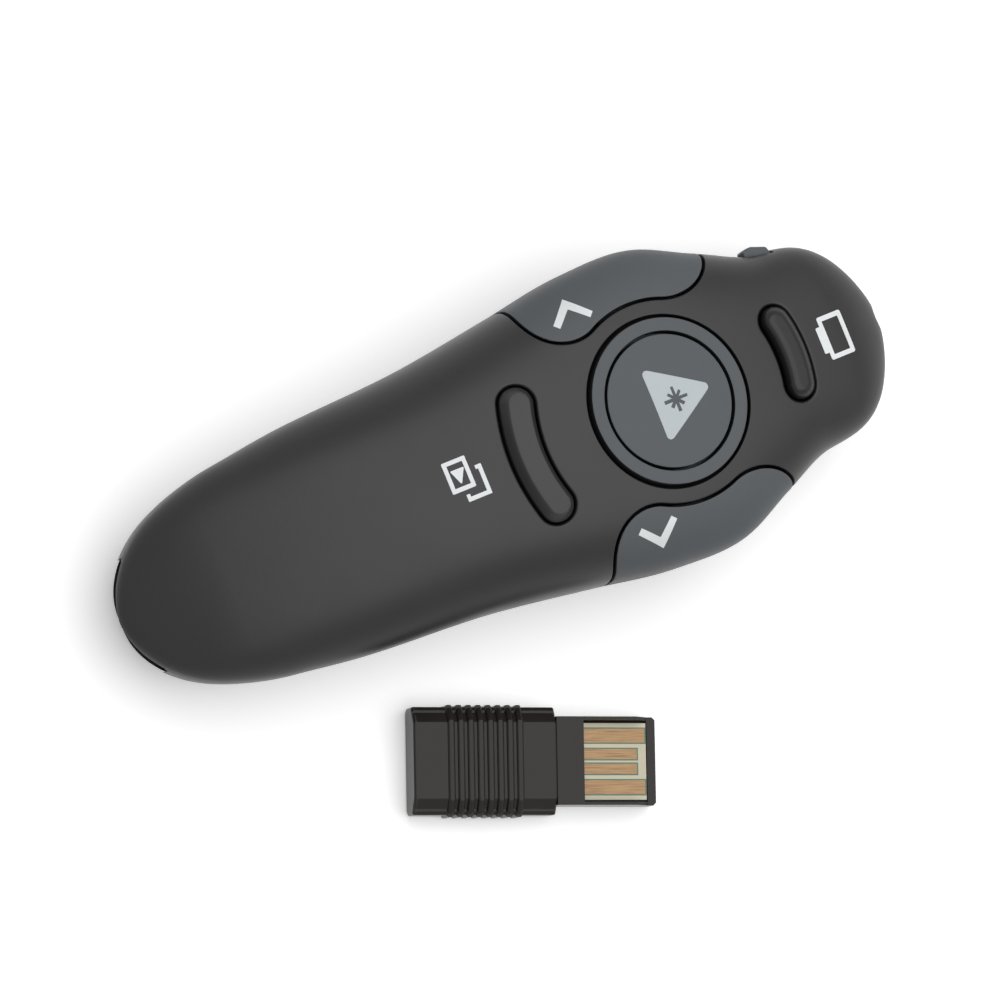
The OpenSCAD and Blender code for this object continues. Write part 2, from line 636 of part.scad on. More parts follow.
// Coil spring that narrows from r0 to r1 over its length
module spring(r0, r1, length, turns, wire) {
  steps = 10 * turns;
  sides = 5;
  rings = [for (i = [0:steps]) let (u = i / steps, a = 360 * turns * u, r = r0 + (r1 - r0) * u)
    [for (j = [0:sides - 1]) let (b = 360 * j / sides)
      [(r + wire * cos(b)) * cos(a), (r + wire * cos(b)) * sin(a), wire + (length - 2 * wire) * u + wire * sin(b)]]];
  faces = [for (i = [0:steps - 1], j = [0:sides - 1])
    let (k = (j + 1) % sides, a = i * sides, b = a + sides) each [[a + j, b + k, b + j], [a + j, a + k, b + k]]];
  polyhedron([for (r = rings) each r], concat([[for (j = [sides - 1:-1:0]) j]], faces,
    [[for (j = [0:sides - 1]) steps * sides + j]]));
}
module contact_springs() color("#c9ccd0") {
  length = contact_room - plate_t;
  translate([cells_x0 + plate_t, cell_y, cell_z]) rotate([0, 90, 0]) spring(3.4, 1.6, length, 3, 0.25);
  translate([cells_x1 - plate_t, -cell_y, cell_z]) rotate([0, -90, 0]) spring(3.4, 1.6, length, 3, 0.25);
}
module screw(head_z) {
  difference() {
    disc(screw_head[0], head_z, head_z + screw_head[1]);
    for (a = [0, 90]) rotate(a) translate([-1.1, -0.25, head_z - 1]) cube([2.2, 0.5, 1.6]);
  }
  disc(screw_r, head_z + screw_head[1] - 0.1, screw_top);
}
module case_screws() color("#777a7d") at_screws() {
  screw(door_top);
  screw(0.6);
}

// ---- receiver, lying beside the clicker ----
rib_h = 0.3;
rib_w = 0.7;
rx_wall = 1.3;
rx_edge = 0.5;                  // bevel along the housing's bottom edges
rx_split = rx_t - rx_bevel_h;   // the lid starts where the bevels do
rx_mid = rx_t / 2;
usb_board_t = 1;
slot_gap = 0.1;                 // round the receiver's board
plug_z = rx_mid - plug_t / 2;
plug_top = plug_z + plug_t;
tray_half_w = plug_w / 2 - rail_w;
tray_x1 = plug_len - 1.2;       // inner face of the plug's end wall
rail_end = 1.9;                 // length over which the rails slope down to the end wall
board_face = rx_mid + usb_board_t / 2;
board_slot = [tray_half_w + slot_gap, rx_mid - usb_board_t / 2 - slot_gap, board_face + slot_gap];
module at_receiver() translate(rx_place) rotate(rx_turn) children();
// Extrudes a cross-section from x0 to x1
module along(x0, x1) translate([x0, 0, 0]) rotate([90, 0, 90]) linear_extrude(x1 - x0) children();
// Housing's cross-section, in by d
module rx_section(d) let (w = rx_w / 2 - d, t = rx_t - d)
  polygon([[-w, d + rx_edge], [rx_edge - w, d], [w - rx_edge, d], [w, d + rx_edge],
    [w, rx_split - d], [w - rx_bevel_w, t], [rx_bevel_w - w, t], [-w, rx_split - d]]);
module rx_housing(z0, z1) at_receiver() difference() {
  intersection() {
    union() {
      along(-rx_len, 0) rx_section(rib_h);
      for (i = [0:rib_count - 1]) let (x = -rx_len / 2 + (i - (rib_count - 1) / 2) * rib_pitch)
        along(x - rib_w / 2, x + rib_w / 2) rx_section(0);
    }
    block(-rx_len - 1, 1, rx_w, z0, z1);
  }
  block(rx_wall - rx_len, -rx_wall, rx_w / 2 - 1.8, rx_wall, rx_split);
  block(-rx_len / 2, 1, board_slot[0], board_slot[1], board_slot[2]);
}
module receiver_top() color("#3a3838") rx_housing(rx_split, rx_t + 1);
module receiver_bottom() color("#3a3838") rx_housing(-1, rx_split);

module receiver_plug() color("#363434") at_receiver() difference() {
  tip = 0.4;
  w = plug_w / 2;
  open_w = max(w - rail_top_w, board_slot[0] + 0.05);
  translate([0, 0, plug_z]) linear_extrude(plug_t)
    polygon([[0, -w], [plug_len - tip, -w], [plug_len, tip - w], [plug_len, w - tip], [plug_len - tip, w], [0, w]]);
  block(-1, tray_x1, board_slot[0], board_slot[1], board_slot[2]);
  // tray between the rails, whose inner walls slope
  along(root_len, tray_x1) polygon([[-board_slot[0], rx_mid], [board_slot[0], rx_mid], [open_w, plug_top],
    [open_w, plug_top + 1], [-open_w, plug_top + 1], [-open_w, plug_top]]);
  rotate([90, 0, 0]) linear_extrude(2 * plug_w, center = true) polygon([[tray_x1 - rail_end, plug_top],
    [tray_x1, board_slot[2]], [plug_len + 1, board_slot[2]], [plug_len + 1, plug_top + 1],
    [tray_x1 - rail_end, plug_top + 1]]);
}
module receiver_board() color("#d9d4bd") at_receiver()
  block(-rx_len / 2 + 0.3, tray_x1 - slot_gap, tray_half_w - slot_gap, rx_mid - usb_board_t / 2, board_face);
// Four contacts at the standard places: the outer two reach further to the tip
pad_y = [3.5, 1];
pad_w = [1.9, 1.4];
pad_end = [0.3, 1.4];           // from the end wall
module receiver_pads() color("#c09a5a") at_receiver() both_sides() for (i = [0, 1])
  translate([root_len, pad_y[i] - pad_w[i] / 2, board_face]) cube([tray_x1 - pad_end[i] - root_len, pad_w[i], 0.06]);
module receiver_chip() color("#202022") at_receiver()
  block(-rx_len / 2 + 1, -rx_len / 2 + 6, 2.5, board_face, board_face + 0.8);

top_cover();
bottom_cover();
battery_door();
trim_ring();
laser_button();
page_back_button();
page_forward_button();
play_key();
blank_key();
power_slider();
slide_switch();
main_board();
push_switches();
board_chips();
laser_barrel();
laser_window();
battery_left();
battery_right();
contact_springs();
contact_plates();
case_screws();
receiver_top();
receiver_bottom();
receiver_plug();
receiver_board();
receiver_pads();
receiver_chip();
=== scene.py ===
"""Looks of a wireless presentation clicker and its loose USB receiver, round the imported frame.

The body's form is that of part.scad, drawn smooth instead of in facets. Lengths are in millimetres and
angles in radians, until add() writes a mesh in metres. x runs to the nose, y to the left, z up.
"""

from math import pi

import bmesh
import bpy
import numpy as np
from mathutils import Matrix, Vector
from mathutils.geometry import delaunay_2d_cdt


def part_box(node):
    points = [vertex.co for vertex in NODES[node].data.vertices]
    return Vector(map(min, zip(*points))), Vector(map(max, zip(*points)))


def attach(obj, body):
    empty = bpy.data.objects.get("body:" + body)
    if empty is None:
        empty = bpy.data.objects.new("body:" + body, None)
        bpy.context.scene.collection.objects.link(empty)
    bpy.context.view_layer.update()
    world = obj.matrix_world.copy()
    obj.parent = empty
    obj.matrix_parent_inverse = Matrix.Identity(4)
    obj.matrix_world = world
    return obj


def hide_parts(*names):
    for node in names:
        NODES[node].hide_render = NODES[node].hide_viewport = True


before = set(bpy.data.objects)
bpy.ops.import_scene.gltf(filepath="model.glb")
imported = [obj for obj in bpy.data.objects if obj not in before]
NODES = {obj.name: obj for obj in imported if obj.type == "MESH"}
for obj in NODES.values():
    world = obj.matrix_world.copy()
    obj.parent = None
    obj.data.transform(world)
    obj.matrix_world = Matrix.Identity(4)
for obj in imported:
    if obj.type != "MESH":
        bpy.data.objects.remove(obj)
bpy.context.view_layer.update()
MM = 0.001

# ------ the body's form
TAIL, NOSE = -78.0, 36.2
X0, X1 = -77.85, 36.09  # where the CAD's first and last sections stand
TAIL_ROUND, NOSE_ROUND = 19.4, 13.9  # how far in from the ends the outline is rounded
BODY_H, CROWN_BACK, SEAM_H, BELLY_DROP = 25.6, 16.0, 12.0, 3.0
ARCH_R = (TAIL + CROWN_BACK) ** 2 / (2 * 12.8)
BELLY_N = 2.8  # how square the sections under the seam are
WIDEST = 21.4  # half of the greatest width
WIDTH_FIT = 0.9944  # keeps the smooth outline inside the CAD's box
WALL = 1.6
FAR = 99.0  # stands for a distance out of reach
np.seterr(divide="ignore", invalid="ignore")  # both come up only at the form's two end points


join = np.concatenate


def cols(*axes):
    """Points from their coordinates, one array for each axis."""
    return np.stack(axes, -1)


def spline(xs, vs):
    """Smooth curve through stations."""
    xs, vs = np.array(xs, float), np.array(vs, float)
    h = np.diff(xs)
    s = np.diff(vs) / h
    m = join([s[:1], (h[:-1] * s[1:] + h[1:] * s[:-1]) / (h[:-1] + h[1:]), s[-1:]])

    def curve(x):
        x = TAIL + (np.asarray(x, float) - X0) * (NOSE - TAIL) / (X1 - X0)
        i = np.clip(np.searchsorted(xs, x) - 1, 0, len(xs) - 2)
        t = (x - xs[i]) / h[i]
        return (
            (2 * t**3 - 3 * t**2 + 1) * vs[i]
            + (t**3 - 2 * t**2 + t) * h[i] * m[i]
            + (3 * t**2 - 2 * t**3) * vs[i + 1]
            + (t**3 - t**2) * h[i] * m[i + 1]
        )

    return curve


def unit(v, least=0.0):
    return v / (np.linalg.norm(v, axis=-1, keepdims=True) + least)


def rounded(d, length, n):
    return (1 - (1 - np.clip(d / length, 0, 1)) ** 2) ** (1 / n)


width = spline(
    [TAIL, TAIL + 12, TAIL + 30, TAIL + 48, -16, -4, 6, 14, 22, NOSE - 5.4],
    [15.6, 14.5, 16.4, 17.6, 19.6, 21.4, 21.1, 17.6, 14.4, 15.2],
)
seam = spline([TAIL, TAIL + 30, 0, NOSE], [10.2, SEAM_H, SEAM_H + 0.5, SEAM_H - 0.4])
crown_n = spline([TAIL, TAIL + 48, 0, NOSE], [2.4, 2.5, 2.9, 2.5])


def edge_steps(n):
    """n shares from 0 to 1, closer together at first, for a rounded edge."""
    return 1 - np.cos(np.linspace(0, pi / 2, n))


def edge_slope(d, r):
    """Sine and cosine of the slope of an edge of radius r, at a distance d inside it."""
    sine = np.clip((r - d) / r, 0, 1)
    return sine, np.sqrt(1 - sine**2)


def half_w(x):
    return WIDTH_FIT * width(x) * rounded(x - X0, TAIL_ROUND, 1.7) * rounded(X1 - x, NOSE_ROUND, 1.8)


def closing(x):
    return rounded(x - X0, 14, 2.2) * rounded(X1 - x, 9, 2.2)


def crown(x):
    return seam(x) + (BODY_H - (x + CROWN_BACK) ** 2 / (2 * ARCH_R) - seam(x)) * closing(x)


def belly(x):
    return seam(x) - (seam(x) + BELLY_DROP) * closing(x)


def top_z(x, y):
    n = crown_n(x)
    return seam(x) + (crown(x) - seam(x)) * np.maximum(0, 1 - (np.abs(y) / half_w(x)) ** n) ** (1 / n)


def inward(points, t):
    """Points of the form drawn in by about t, as part.scad does it."""
    x, y, z = points.T
    s, mid = seam(x), (X0 + X1) / 2
    span = np.where(z >= s, BODY_H - SEAM_H, SEAM_H + BELLY_DROP)
    x = mid + (x - mid) * (1 - 2 * t / (X1 - X0))
    return cols(x, y * (1 - t / WIDEST), s + (z - s) * (1 - t / span))


def normal(points):
    """Outward normal of the form."""
    x, y, z = points.T
    above = z >= seam(x) - 1e-7
    n = np.where(above, crown_n(x), BELLY_N)

    def height(x):
        return np.where(above, crown(x) - seam(x), seam(x) - belly(x))

    def level(x):
        return (np.abs(y) / half_w(x)) ** n + (np.abs(z - seam(x)) / height(x)) ** n

    s, h = seam(x), height(x)
    e = 1e-3 * np.maximum(np.minimum(x - X0, X1 - x), 1e-3)
    g = cols(
        (level(x + e) - level(x - e)) / (2 * e),
        n * np.abs(y) ** (n - 1) / half_w(x) ** n * np.sign(y),
        n * np.abs(z - s) ** (n - 1) / h**n * np.sign(z - s),
    )
    bad = ~np.isfinite(g).all(1)
    g[bad] = cols(np.sign(x[bad]), 0 * x[bad], 0 * x[bad])
    return unit(g)


def stations(ends, middle):
    """Places along x, closer together where the ends are rounded."""
    off = edge_steps(ends)
    straight = np.linspace(X0 + TAIL_ROUND, X1 - NOSE_ROUND, middle)[1:-1]
    return join([X0 + TAIL_ROUND * off, straight, (X1 - NOSE_ROUND * off)[::-1]])


# Unrolled coordinates of the upper surface: u along the crown line, v across it, both true lengths
UX = stations(1200, 1200)
U = join([[0], np.cumsum(np.hypot(np.diff(UX), np.diff(crown(UX))))])
T = np.linspace(0, 1, 141)


def angle(t):
    """Angle of a section at t, from the crown (0) to the seam (1)."""
    return pi / 2 * (1 - t * t * (3 - 2 * t))


def t_of(a):
    q = np.clip(1 - a / (pi / 2), 0, 1)
    return 0.5 - np.sin(np.arcsin(1 - 2 * q) / 3)


def section(x, a):
    n = crown_n(x)
    return (
        half_w(x) * np.maximum(np.cos(a), 0) ** (2 / n),
        (crown(x) - seam(x)) * np.maximum(np.sin(a), 0) ** (2 / n),
    )


def arcs(x):
    """Length along each section from the crown to T."""
    y, z = section(x[:, None], angle(T)[None])
    return join([np.zeros((len(x), 1)), np.cumsum(np.hypot(np.diff(y), np.diff(z)), 1)], 1)


UL = arcs(UX)[:, -1]


def from_uv(uv):
    out = []
    for part in np.array_split(uv, max(1, len(uv) // 20000)):
        x = np.interp(part[:, 0], U, UX)
        s, rows = arcs(x), np.arange(len(x))
        v = np.minimum(np.abs(part[:, 1]), s[:, -1])
        i = np.clip((s < v[:, None]).sum(1) - 1, 0, len(T) - 2)
        t = T[i] + (v - s[rows, i]) / (s[rows, i + 1] - s[rows, i] + 1e-12) * (T[1] - T[0])
        y, z = section(x, angle(np.clip(t, 0, 1)))
        out.append(cols(x, y * np.sign(part[:, 1]), seam(x) + z))
    return join(out)


def to_uv(x, t, side):
    s, rows, k = arcs(x), np.arange(len(x)), np.clip(t, 0, 1) * (len(T) - 1)
    i = np.clip(k.astype(int), 0, len(T) - 2)
    v = s[rows, i] + (k - i) * (s[rows, i + 1] - s[rows, i])
    return cols(np.interp(x, UX, U), side * v)


def uv_xy(p):
    """Unrolled coordinates of points (x, y) of the upper surface."""
    x, y = np.asarray(p, float).T
    q = np.clip((np.abs(y) / half_w(x)) ** (crown_n(x) / 2), 0, 1)
    return to_uv(x, t_of(np.arccos(q)), np.sign(y))


def uv_xz(p):
    """The same of points (x, z) on the left side."""
    x, z = np.asarray(p, float).T
    q = np.clip((z - seam(x)) / (crown(x) - seam(x)), 0, 1)
    return to_uv(x, t_of(np.arcsin(q ** (crown_n(x) / 2))), 1)


# ------ mesh helpers
def linked(name, data):
    """Object of some data, in the scene."""
    ob = bpy.data.objects.new(name, data)
    bpy.context.scene.collection.objects.link(ob)
    return ob


def solid(parts):
    """Loose object of closed pieces (vertices, faces)."""
    verts, faces, first = [], [], 0
    for v, f in parts:
        verts.append(v)
        faces += [tuple(int(i) + first for i in face) for face in f]
        first += len(v)
    me = bpy.data.meshes.new("loose")
    me.from_pydata((join(verts) * MM).tolist(), [], faces)
    return linked("loose", me)


def finish(ob, name, mat, body, replaces=(), sharp=35, normals=None):
    """Smooth piece of a loose object, which rides on a body and stands for CAD nodes."""
    me = ob.data
    ob.name = me.name = name
    me.materials.clear()
    me.materials.append(mat)
    me.polygons.foreach_set("use_smooth", [True] * len(me.polygons))
    me.set_sharp_from_angle(angle=np.radians(sharp))
    if normals is not None:
        full = np.zeros((len(me.vertices), 3))
        full[: len(normals)] = normals
        me.normals_split_custom_set_from_vertices(full.tolist())
    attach(ob, body)
    if replaces:
        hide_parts(*replaces)
    return ob


def add(name, parts, mat, body, replaces=(), **shading):
    return finish(solid(parts), name, mat, body, replaces, **shading)


def modify(ob, kind, **settings):
    """Gives an object the mesh that one modifier makes of it."""
    mod = ob.modifiers.new(kind, kind)
    for key, value in settings.items():
        setattr(mod, key, value)
    me = bpy.data.meshes.new_from_object(ob.evaluated_get(bpy.context.evaluated_depsgraph_get()))
    ob.modifiers.remove(mod)
    ob.data = me


def combine(ob, other, how):
    """Joins another object to ob, takes it away or keeps what both share; the other is used up."""
    modify(ob, "BOOLEAN", object=other, operation=how, solver="MANIFOLD")
    if not len(ob.data.polygons):
        raise RuntimeError(f"the boolean {how} left nothing")
    bpy.data.objects.remove(other)


def carve(ob, *pieces):
    for piece in pieces:
        combine(ob, solid([piece]), "DIFFERENCE")


def round_edges(ob, width, segments, limit):
    """Bevels the edges that turn by more than limit degrees."""
    limit = np.radians(limit)
    modify(ob, "BEVEL", width=width * MM, segments=segments, limit_method="ANGLE", angle_limit=limit)


def weigh(ob):
    """Normals that keep flat faces flat beside their rounded edges."""
    modify(ob, "WEIGHTED_NORMAL", keep_sharp=True)


def node_copy(name, change):
    """Loose copy of a CAD node, after change(bmesh)."""
    ob = linked(name + "_copy", NODES[name].data.copy())
    bm = bmesh.new()
    bm.from_mesh(ob.data)
    bmesh.ops.remove_doubles(bm, verts=bm.verts, dist=1e-7)
    change(bm)
    bm.to_mesh(ob.data)
    bm.free()
    return ob


def triangulate(points, lines, keep):
    """Triangles over 2-D points and lines, where keep(centres) says so."""
    pts, edges = [tuple(p) for p in points], []
    for line in lines:
        edges += [(len(pts) + i, len(pts) + i + 1) for i in range(len(line) - 1)]
        pts += [tuple(p) for p in line]
    out = delaunay_2d_cdt([Vector(p) for p in pts], edges, [], 0, 1e-6, False)
    v, f = np.array([tuple(p) for p in out[0]]), np.array([tuple(t) for t in out[2]])
    f = f[keep(v[f].mean(1))]
    used, index = np.unique(f, return_inverse=True)
    return v[used], index.reshape(-1, 3)


def open_edges(f):
    """Edges with a face on one side only, in that face's direction."""
    e = join([f[:, [0, 1]], f[:, [1, 2]], f[:, [2, 0]]])
    there = {tuple(p) for p in e}
    return [p for p in map(tuple, e) if p[::-1] not in there]


def slab(top, under, f):
    """Closed piece between two like sheets of triangles."""
    n = len(top)
    walls = [(b, a, a + n, b + n) for a, b in open_edges(f)]
    return join([top, under]), [tuple(t) for t in f] + [tuple(t[::-1] + n) for t in f] + walls


def hex_grid(x0, x1, y0, y1, step):
    xs, ys = np.arange(x0, x1, step), np.arange(y0, y1, step * 0.866)
    gx, gy = np.meshgrid(xs, ys)
    gx = gx + (np.arange(len(ys)) % 2)[:, None] * step / 2
    return cols(gx.ravel(), gy.ravel())


def arc(c, r, a0, a1, n):
    a = np.linspace(a0, a1, n + 1)
    return c + r * cols(np.cos(a), np.sin(a))


def resample(line, step):
    s = join([[0], np.cumsum(np.linalg.norm(np.diff(line, axis=0), axis=1))])
    t = np.linspace(0, s[-1], max(2, int(round(s[-1] / step)) + 1))
    return cols(*(np.interp(t, s, row) for row in line.T))


def lathe(profile, seg, closed=False):
    """Turned piece about z; the profile (r, z) runs up the outside."""
    v, f, idx = [], [], []
    a = 2 * pi * np.arange(seg) / seg
    for r, z in profile:
        if r < 1e-9:
            idx.append([len(v)] * seg)
            v.append((0, 0, z))
        else:
            idx.append(list(range(len(v), len(v) + seg)))
            v += [(r * np.cos(b), r * np.sin(b), z) for b in a]
    for low, high in zip(idx, idx[1:] + (idx[:1] if closed else [])):
        for i in range(seg):
            j = (i + 1) % seg
            face = [low[i], low[j], high[j], high[i]]
            face = [p for k, p in enumerate(face) if p != face[k - 1]]
            if len(face) > 2:
                f.append(tuple(face))
    return np.array(v, float), f


def rounded_corner(c, r, a0):
    """Quarter circle from a0 on."""
    return [tuple(p) for p in arc(c, r, a0, a0 + pi / 2, 4)]


def box(x0, x1, y0, y1, z0, z1):
    v = [(x, y, z) for x in (x0, x1) for y in (y0, y1) for z in (z0, z1)]
    f = [(0, 1, 3, 2), (4, 6, 7, 5), (0, 4, 5, 1), (2, 3, 7, 6), (0, 2, 6, 4), (1, 5, 7, 3)]
    return np.array(v, float), f


def moved(piece, by):
    return piece[0] + by, piece[1]


def cylinder(r, z0, z1, at=(0, 0), seg=64):
    return moved(lathe([(0, z0), (r, z0), (r, z1), (0, z1)], seg), (*at, 0))


def tube(r0, r1, z0, z1, at):
    return moved(lathe([(r0, z0), (r1, z0), (r1, z1), (r0, z1)], 48, closed=True), (*at, 0))


def laid(piece, at):
    """Piece turned from z to x."""
    x, y, z = piece[0].T
    return cols(z, y, -x) + at, piece[1]


def loft(rings):
    """Closed piece through rings of points, which run counter-clockwise seen from the last."""
    n = len(rings[0])
    end = n * (len(rings) - 1)
    f = [(a + j, a + (j + 1) % n, a + n + (j + 1) % n, a + n + j) for a in range(0, end, n) for j in range(n)]
    return join(rings), f + [tuple(range(n))[::-1], tuple(range(end, end + n))]


def paint_side_shade(ob, out, limit=0.6):
    """Painted shade: a near-black second material on the faces that stand up from the surface, which only
    show in the gaps, where it stands in for their shadow.
    """
    faces = ob.data.polygons
    ways, centres = np.zeros((2, 3 * len(faces)))
    faces.foreach_get("normal", ways)
    faces.foreach_get("center", centres)
    lean = (ways.reshape(-1, 3) * out(centres.reshape(-1, 3) / MM)).sum(1)
    ob.data.materials.append(PAINTED_GAP_SHADE)
    faces.foreach_set("material_index", (np.abs(lean) < limit).astype(int))


# ------ materials
def rgb(r, g, b):
    """Colour written as it looks on screen, 0 to 255."""
    c = np.array([r, g, b]) / 255
    return (*np.where(c <= 0.04045, c / 12.92, ((c + 0.055) / 1.055) ** 2.4), 1.0)


def tinted(color, by):
    return (*(min(1, c * by) for c in color[:3]), 1)


def feed(tree, node, sockets):
    """Sets inputs of a shader node, by name or number, to values or to the outputs that feed them."""
    for key, value in sockets.items():
        if isinstance(value, bpy.types.NodeSocket):
            tree.links.new(value, node.inputs[key])
        else:
            node.inputs[key].default_value = value


def shader(tree, kind, *feeds, out=0, **named):
    """Output of a new shader node: its settings are named in lower case, its inputs as on screen."""
    new = tree.nodes.new(f"ShaderNode{kind}")
    for key in filter(str.islower, list(named)):
        setattr(new, key, named.pop(key))
    feed(tree, new, dict(enumerate(feeds)) | {key.replace("_", " "): value for key, value in named.items()})
    return new.outputs[out]


def material(name, color, rough, specular, metallic=0.0, coat=0.0, vary=0.05, vary_scale=120, grain=3600,
             bump=0.05, rough_vary=0.06, second=None, pattern=None):
    """Moulded or metal surface: its colour, roughness and grain vary by noise at their own scales."""
    mat = bpy.data.materials.new(name)
    mat.use_nodes = True
    tree = mat.node_tree
    where = shader(tree, "TexCoord", out="Object")
    clouds = shader(tree, "TexNoise", Vector=where, Scale=vary_scale, Detail=4)
    dark, light = tinted(color, 1 - vary), second or tinted(color, 1 + vary)
    base = shader(tree, "Mix", out="Result", data_type="RGBA", Factor=clouds, A=dark, B=light)
    low, high = max(0.0, rough - rough_vary), min(1.0, rough + rough_vary)
    sockets = {
        "Metallic": metallic,
        "Specular IOR Level": specular,
        "Coat Weight": coat,
        "Coat Roughness": 0.08,
        "Roughness": shader(tree, "MapRange", Value=clouds, To_Min=low, To_Max=high),
        "Base Color": pattern(tree, where, base) if pattern else base,
    }
    if bump:
        fine = shader(tree, "TexNoise", Vector=where, Scale=grain, Detail=3)
        sockets["Normal"] = shader(tree, "Bump", Height=fine, Strength=bump, Distance=0.0002)
    feed(tree, tree.nodes["Principled BSDF"], sockets)
    return mat


PRINT = {"vary": 0.03, "vary_scale": 900, "grain": 5000, "bump": 0.08}
SHELL = material("soft_touch_shell", rgb(34, 33, 34), 0.4, 0.33, bump=0.06)
KEYS = material("satin_grey_keys", rgb(91, 95, 98), 0.45, 0.1, vary=0.03)
BAR = material("play_key_plastic", rgb(38, 37, 37), 0.42, 0.35)
GLOSS_BAR = material("blank_key_plastic", rgb(25, 25, 26), 0.3, 0.28, bump=0.03)
# Near-black painted shade for the walls that show in the gaps, in place of their shadow, not a plastic of its
# own
PAINTED_GAP_SHADE = material("painted_side_shade", rgb(16, 16, 17), 0.7, 0.2, vary=0.1)
INK = material("pad_print", rgb(183, 191, 195), 0.55, 0.4, **PRINT)
BRIGHT_INK = material("pad_print_bright", rgb(228, 232, 233), 0.55, 0.4, **PRINT)

# ------ openings of the top
PITCH = np.radians(7.2)  # the ring leans to the nose
RING_Z = BODY_H - CROWN_BACK**2 / (2 * ARCH_R) - 0.1
CP, SP = np.cos(PITCH), np.sin(PITCH)


def on_ring(q):
    x, y, z = np.asarray(q, float).T
    return cols(x * CP + z * SP, y, z * CP - x * SP + RING_Z)


def off_ring(p):
    x, y, z = p[:, 0], p[:, 1], p[:, 2] - RING_Z
    return cols(x * CP - z * SP, y, x * SP + z * CP)


def bar_line(r, span, w, side, step=0.4):
    """Closed plan outline of an arc-shaped bar about the ring centre."""
    end = r * np.array([np.cos(span), np.sin(span)])
    parts = (
        arc((0, 0), r + w / 2, -span, span, 60),
        arc(end, w / 2, span, span + pi, 24)[1:],
        arc((0, 0), r - w / 2, span, -span, 60)[1:],
        arc(end * (1, -1), w / 2, pi - span, 2 * pi - span, 24)[1:],
    )
    return resample(join(parts), step) * side


def bar_distance(p, r, span, side):
    """Distance of points to a bar's middle line in plan, and the direction away from it."""
    x, y = p[:, 0] * side, p[:, 1] * side
    rho, a = np.hypot(x, y), np.arctan2(y, x)
    in_span = np.abs(a) <= span
    dx = np.where(in_span, x - r * x / rho, x - r * np.cos(span))
    dy = np.where(in_span, y - r * y / rho, y - r * np.sin(span) * np.sign(y))
    d = np.hypot(dx, dy) + 1e-12
    return d, cols(side * dx / d, side * dy / d, 0 * d)


# The page buttons' inner edge: an arc about the ring between two that turn out to the sides
HUMP_R, REAR_R, FRONT_R = 14.0, 6.0, 8.0
REAR_A, FRONT_A = np.radians(115.5), np.radians(70.1)
REAR_C = (HUMP_R + REAR_R) * np.array([np.cos(REAR_A), np.sin(REAR_A)])
FRONT_C = (HUMP_R + FRONT_R) * np.array([np.cos(FRONT_A), np.sin(FRONT_A)])


def page_distance(p):
    """How far inside a page button's outline points lie in plan, and the direction inwards."""
    x, y, side = p[:, 0], np.abs(p[:, 1]), np.sign(p[:, 1])
    best, g = np.full(len(p), -FAR), np.tile((0.0, 1.0, 0.0), (len(p), 1))

    def offer(valid, d, gx, gy=0 * x):
        take = valid & (np.abs(d) < np.abs(best))
        best[take], g[take, 0], g[take, 1] = d[take], gx[take], gy[take]

    offer(y > REAR_C[1], x - (REAR_C[0] - REAR_R), 1 + 0 * x)
    offer(y > FRONT_C[1], FRONT_C[0] + FRONT_R - x, -1 + 0 * x)
    for c, r, a0, a1, sign in (
        (REAR_C, REAR_R, pi, REAR_A + pi, -1),
        ((0, 0), HUMP_R, FRONT_A, REAR_A, 1),
        (FRONT_C, FRONT_R, FRONT_A + pi, 2 * pi, -1),
    ):
        dx, dy = x - c[0], y - c[1]
        rho = np.hypot(dx, dy) + 1e-12
        a = np.arctan2(dy, dx) % (2 * pi)
        offer((a >= a0 - 1e-9) & (a <= a1 + 1e-9), sign * (rho - r), sign * dx / rho, sign * dy / rho)
    g[:, 1] *= side
    return best, g


def page_row(out):
    """Unrolled edge line of the left page button, moved out by a distance, from seam to seam."""
    parts = (
        arc(REAR_C, REAR_R + out, pi, REAR_A + pi, 40),
        arc((0, 0), HUMP_R - out, REAR_A, FRONT_A, 40)[1:],
        arc(FRONT_C, FRONT_R + out, FRONT_A - pi, 0, 40)[1:],
    )
    row = uv_xy(join(parts))
    u = row[[0, -1], 0]
    ends = cols(u, np.interp(u, U, UL))
    return resample(join([ends[:1], row, ends[1:]]), 0.4)


class Ring:
    radius, r = 11.8, 0.15

    def near(self, p):
        q = off_ring(p)
        rho = np.hypot(q[:, 0], q[:, 1]) + 1e-12
        gx = q[:, 0] / rho
        return rho - self.radius, cols(gx * CP, q[:, 1] / rho, -gx * SP)

    def rows(self, e):
        a, r = np.linspace(0, 2 * pi, 190), self.radius + e
        q = cols(r * np.cos(a), r * np.sin(a), 0 * a)
        for _ in range(8):
            p = on_ring(q)
            q[:, 2] = (top_z(p[:, 0], p[:, 1]) - RING_Z + q[:, 0] * SP) / CP
        row = uv_xy(on_ring(q)[:, :2])
        row[-1] = row[0]
        return [row]


class Bar:
    def __init__(self, radius, span, w, side, r=0.4):
        self.shape, self.w, self.r = (radius, span, side), w, r

    def near(self, p):
        d, g = bar_distance(p, *self.shape)
        return d - self.w / 2, g

    def rows(self, e):
        row = uv_xy(bar_line(*self.shape[:2], self.w + 2 * e, self.shape[2]))
        row[-1] = row[0]
        return [row]


class Page:
    """Gap round the page buttons; side -1 keeps the cover outside it and 1 the button inside."""

    r, gap = 0.2, 0.4

    def __init__(self, side):
        self.side = side

    def near(self, p):
        d, g = page_distance(p)
        return self.side * d - self.gap / 2, self.side * g

    def rows(self, e):
        row = page_row(-self.side * (self.gap / 2 + e))
        return [row, row * (1, -1)] if self.side < 0 else [row]


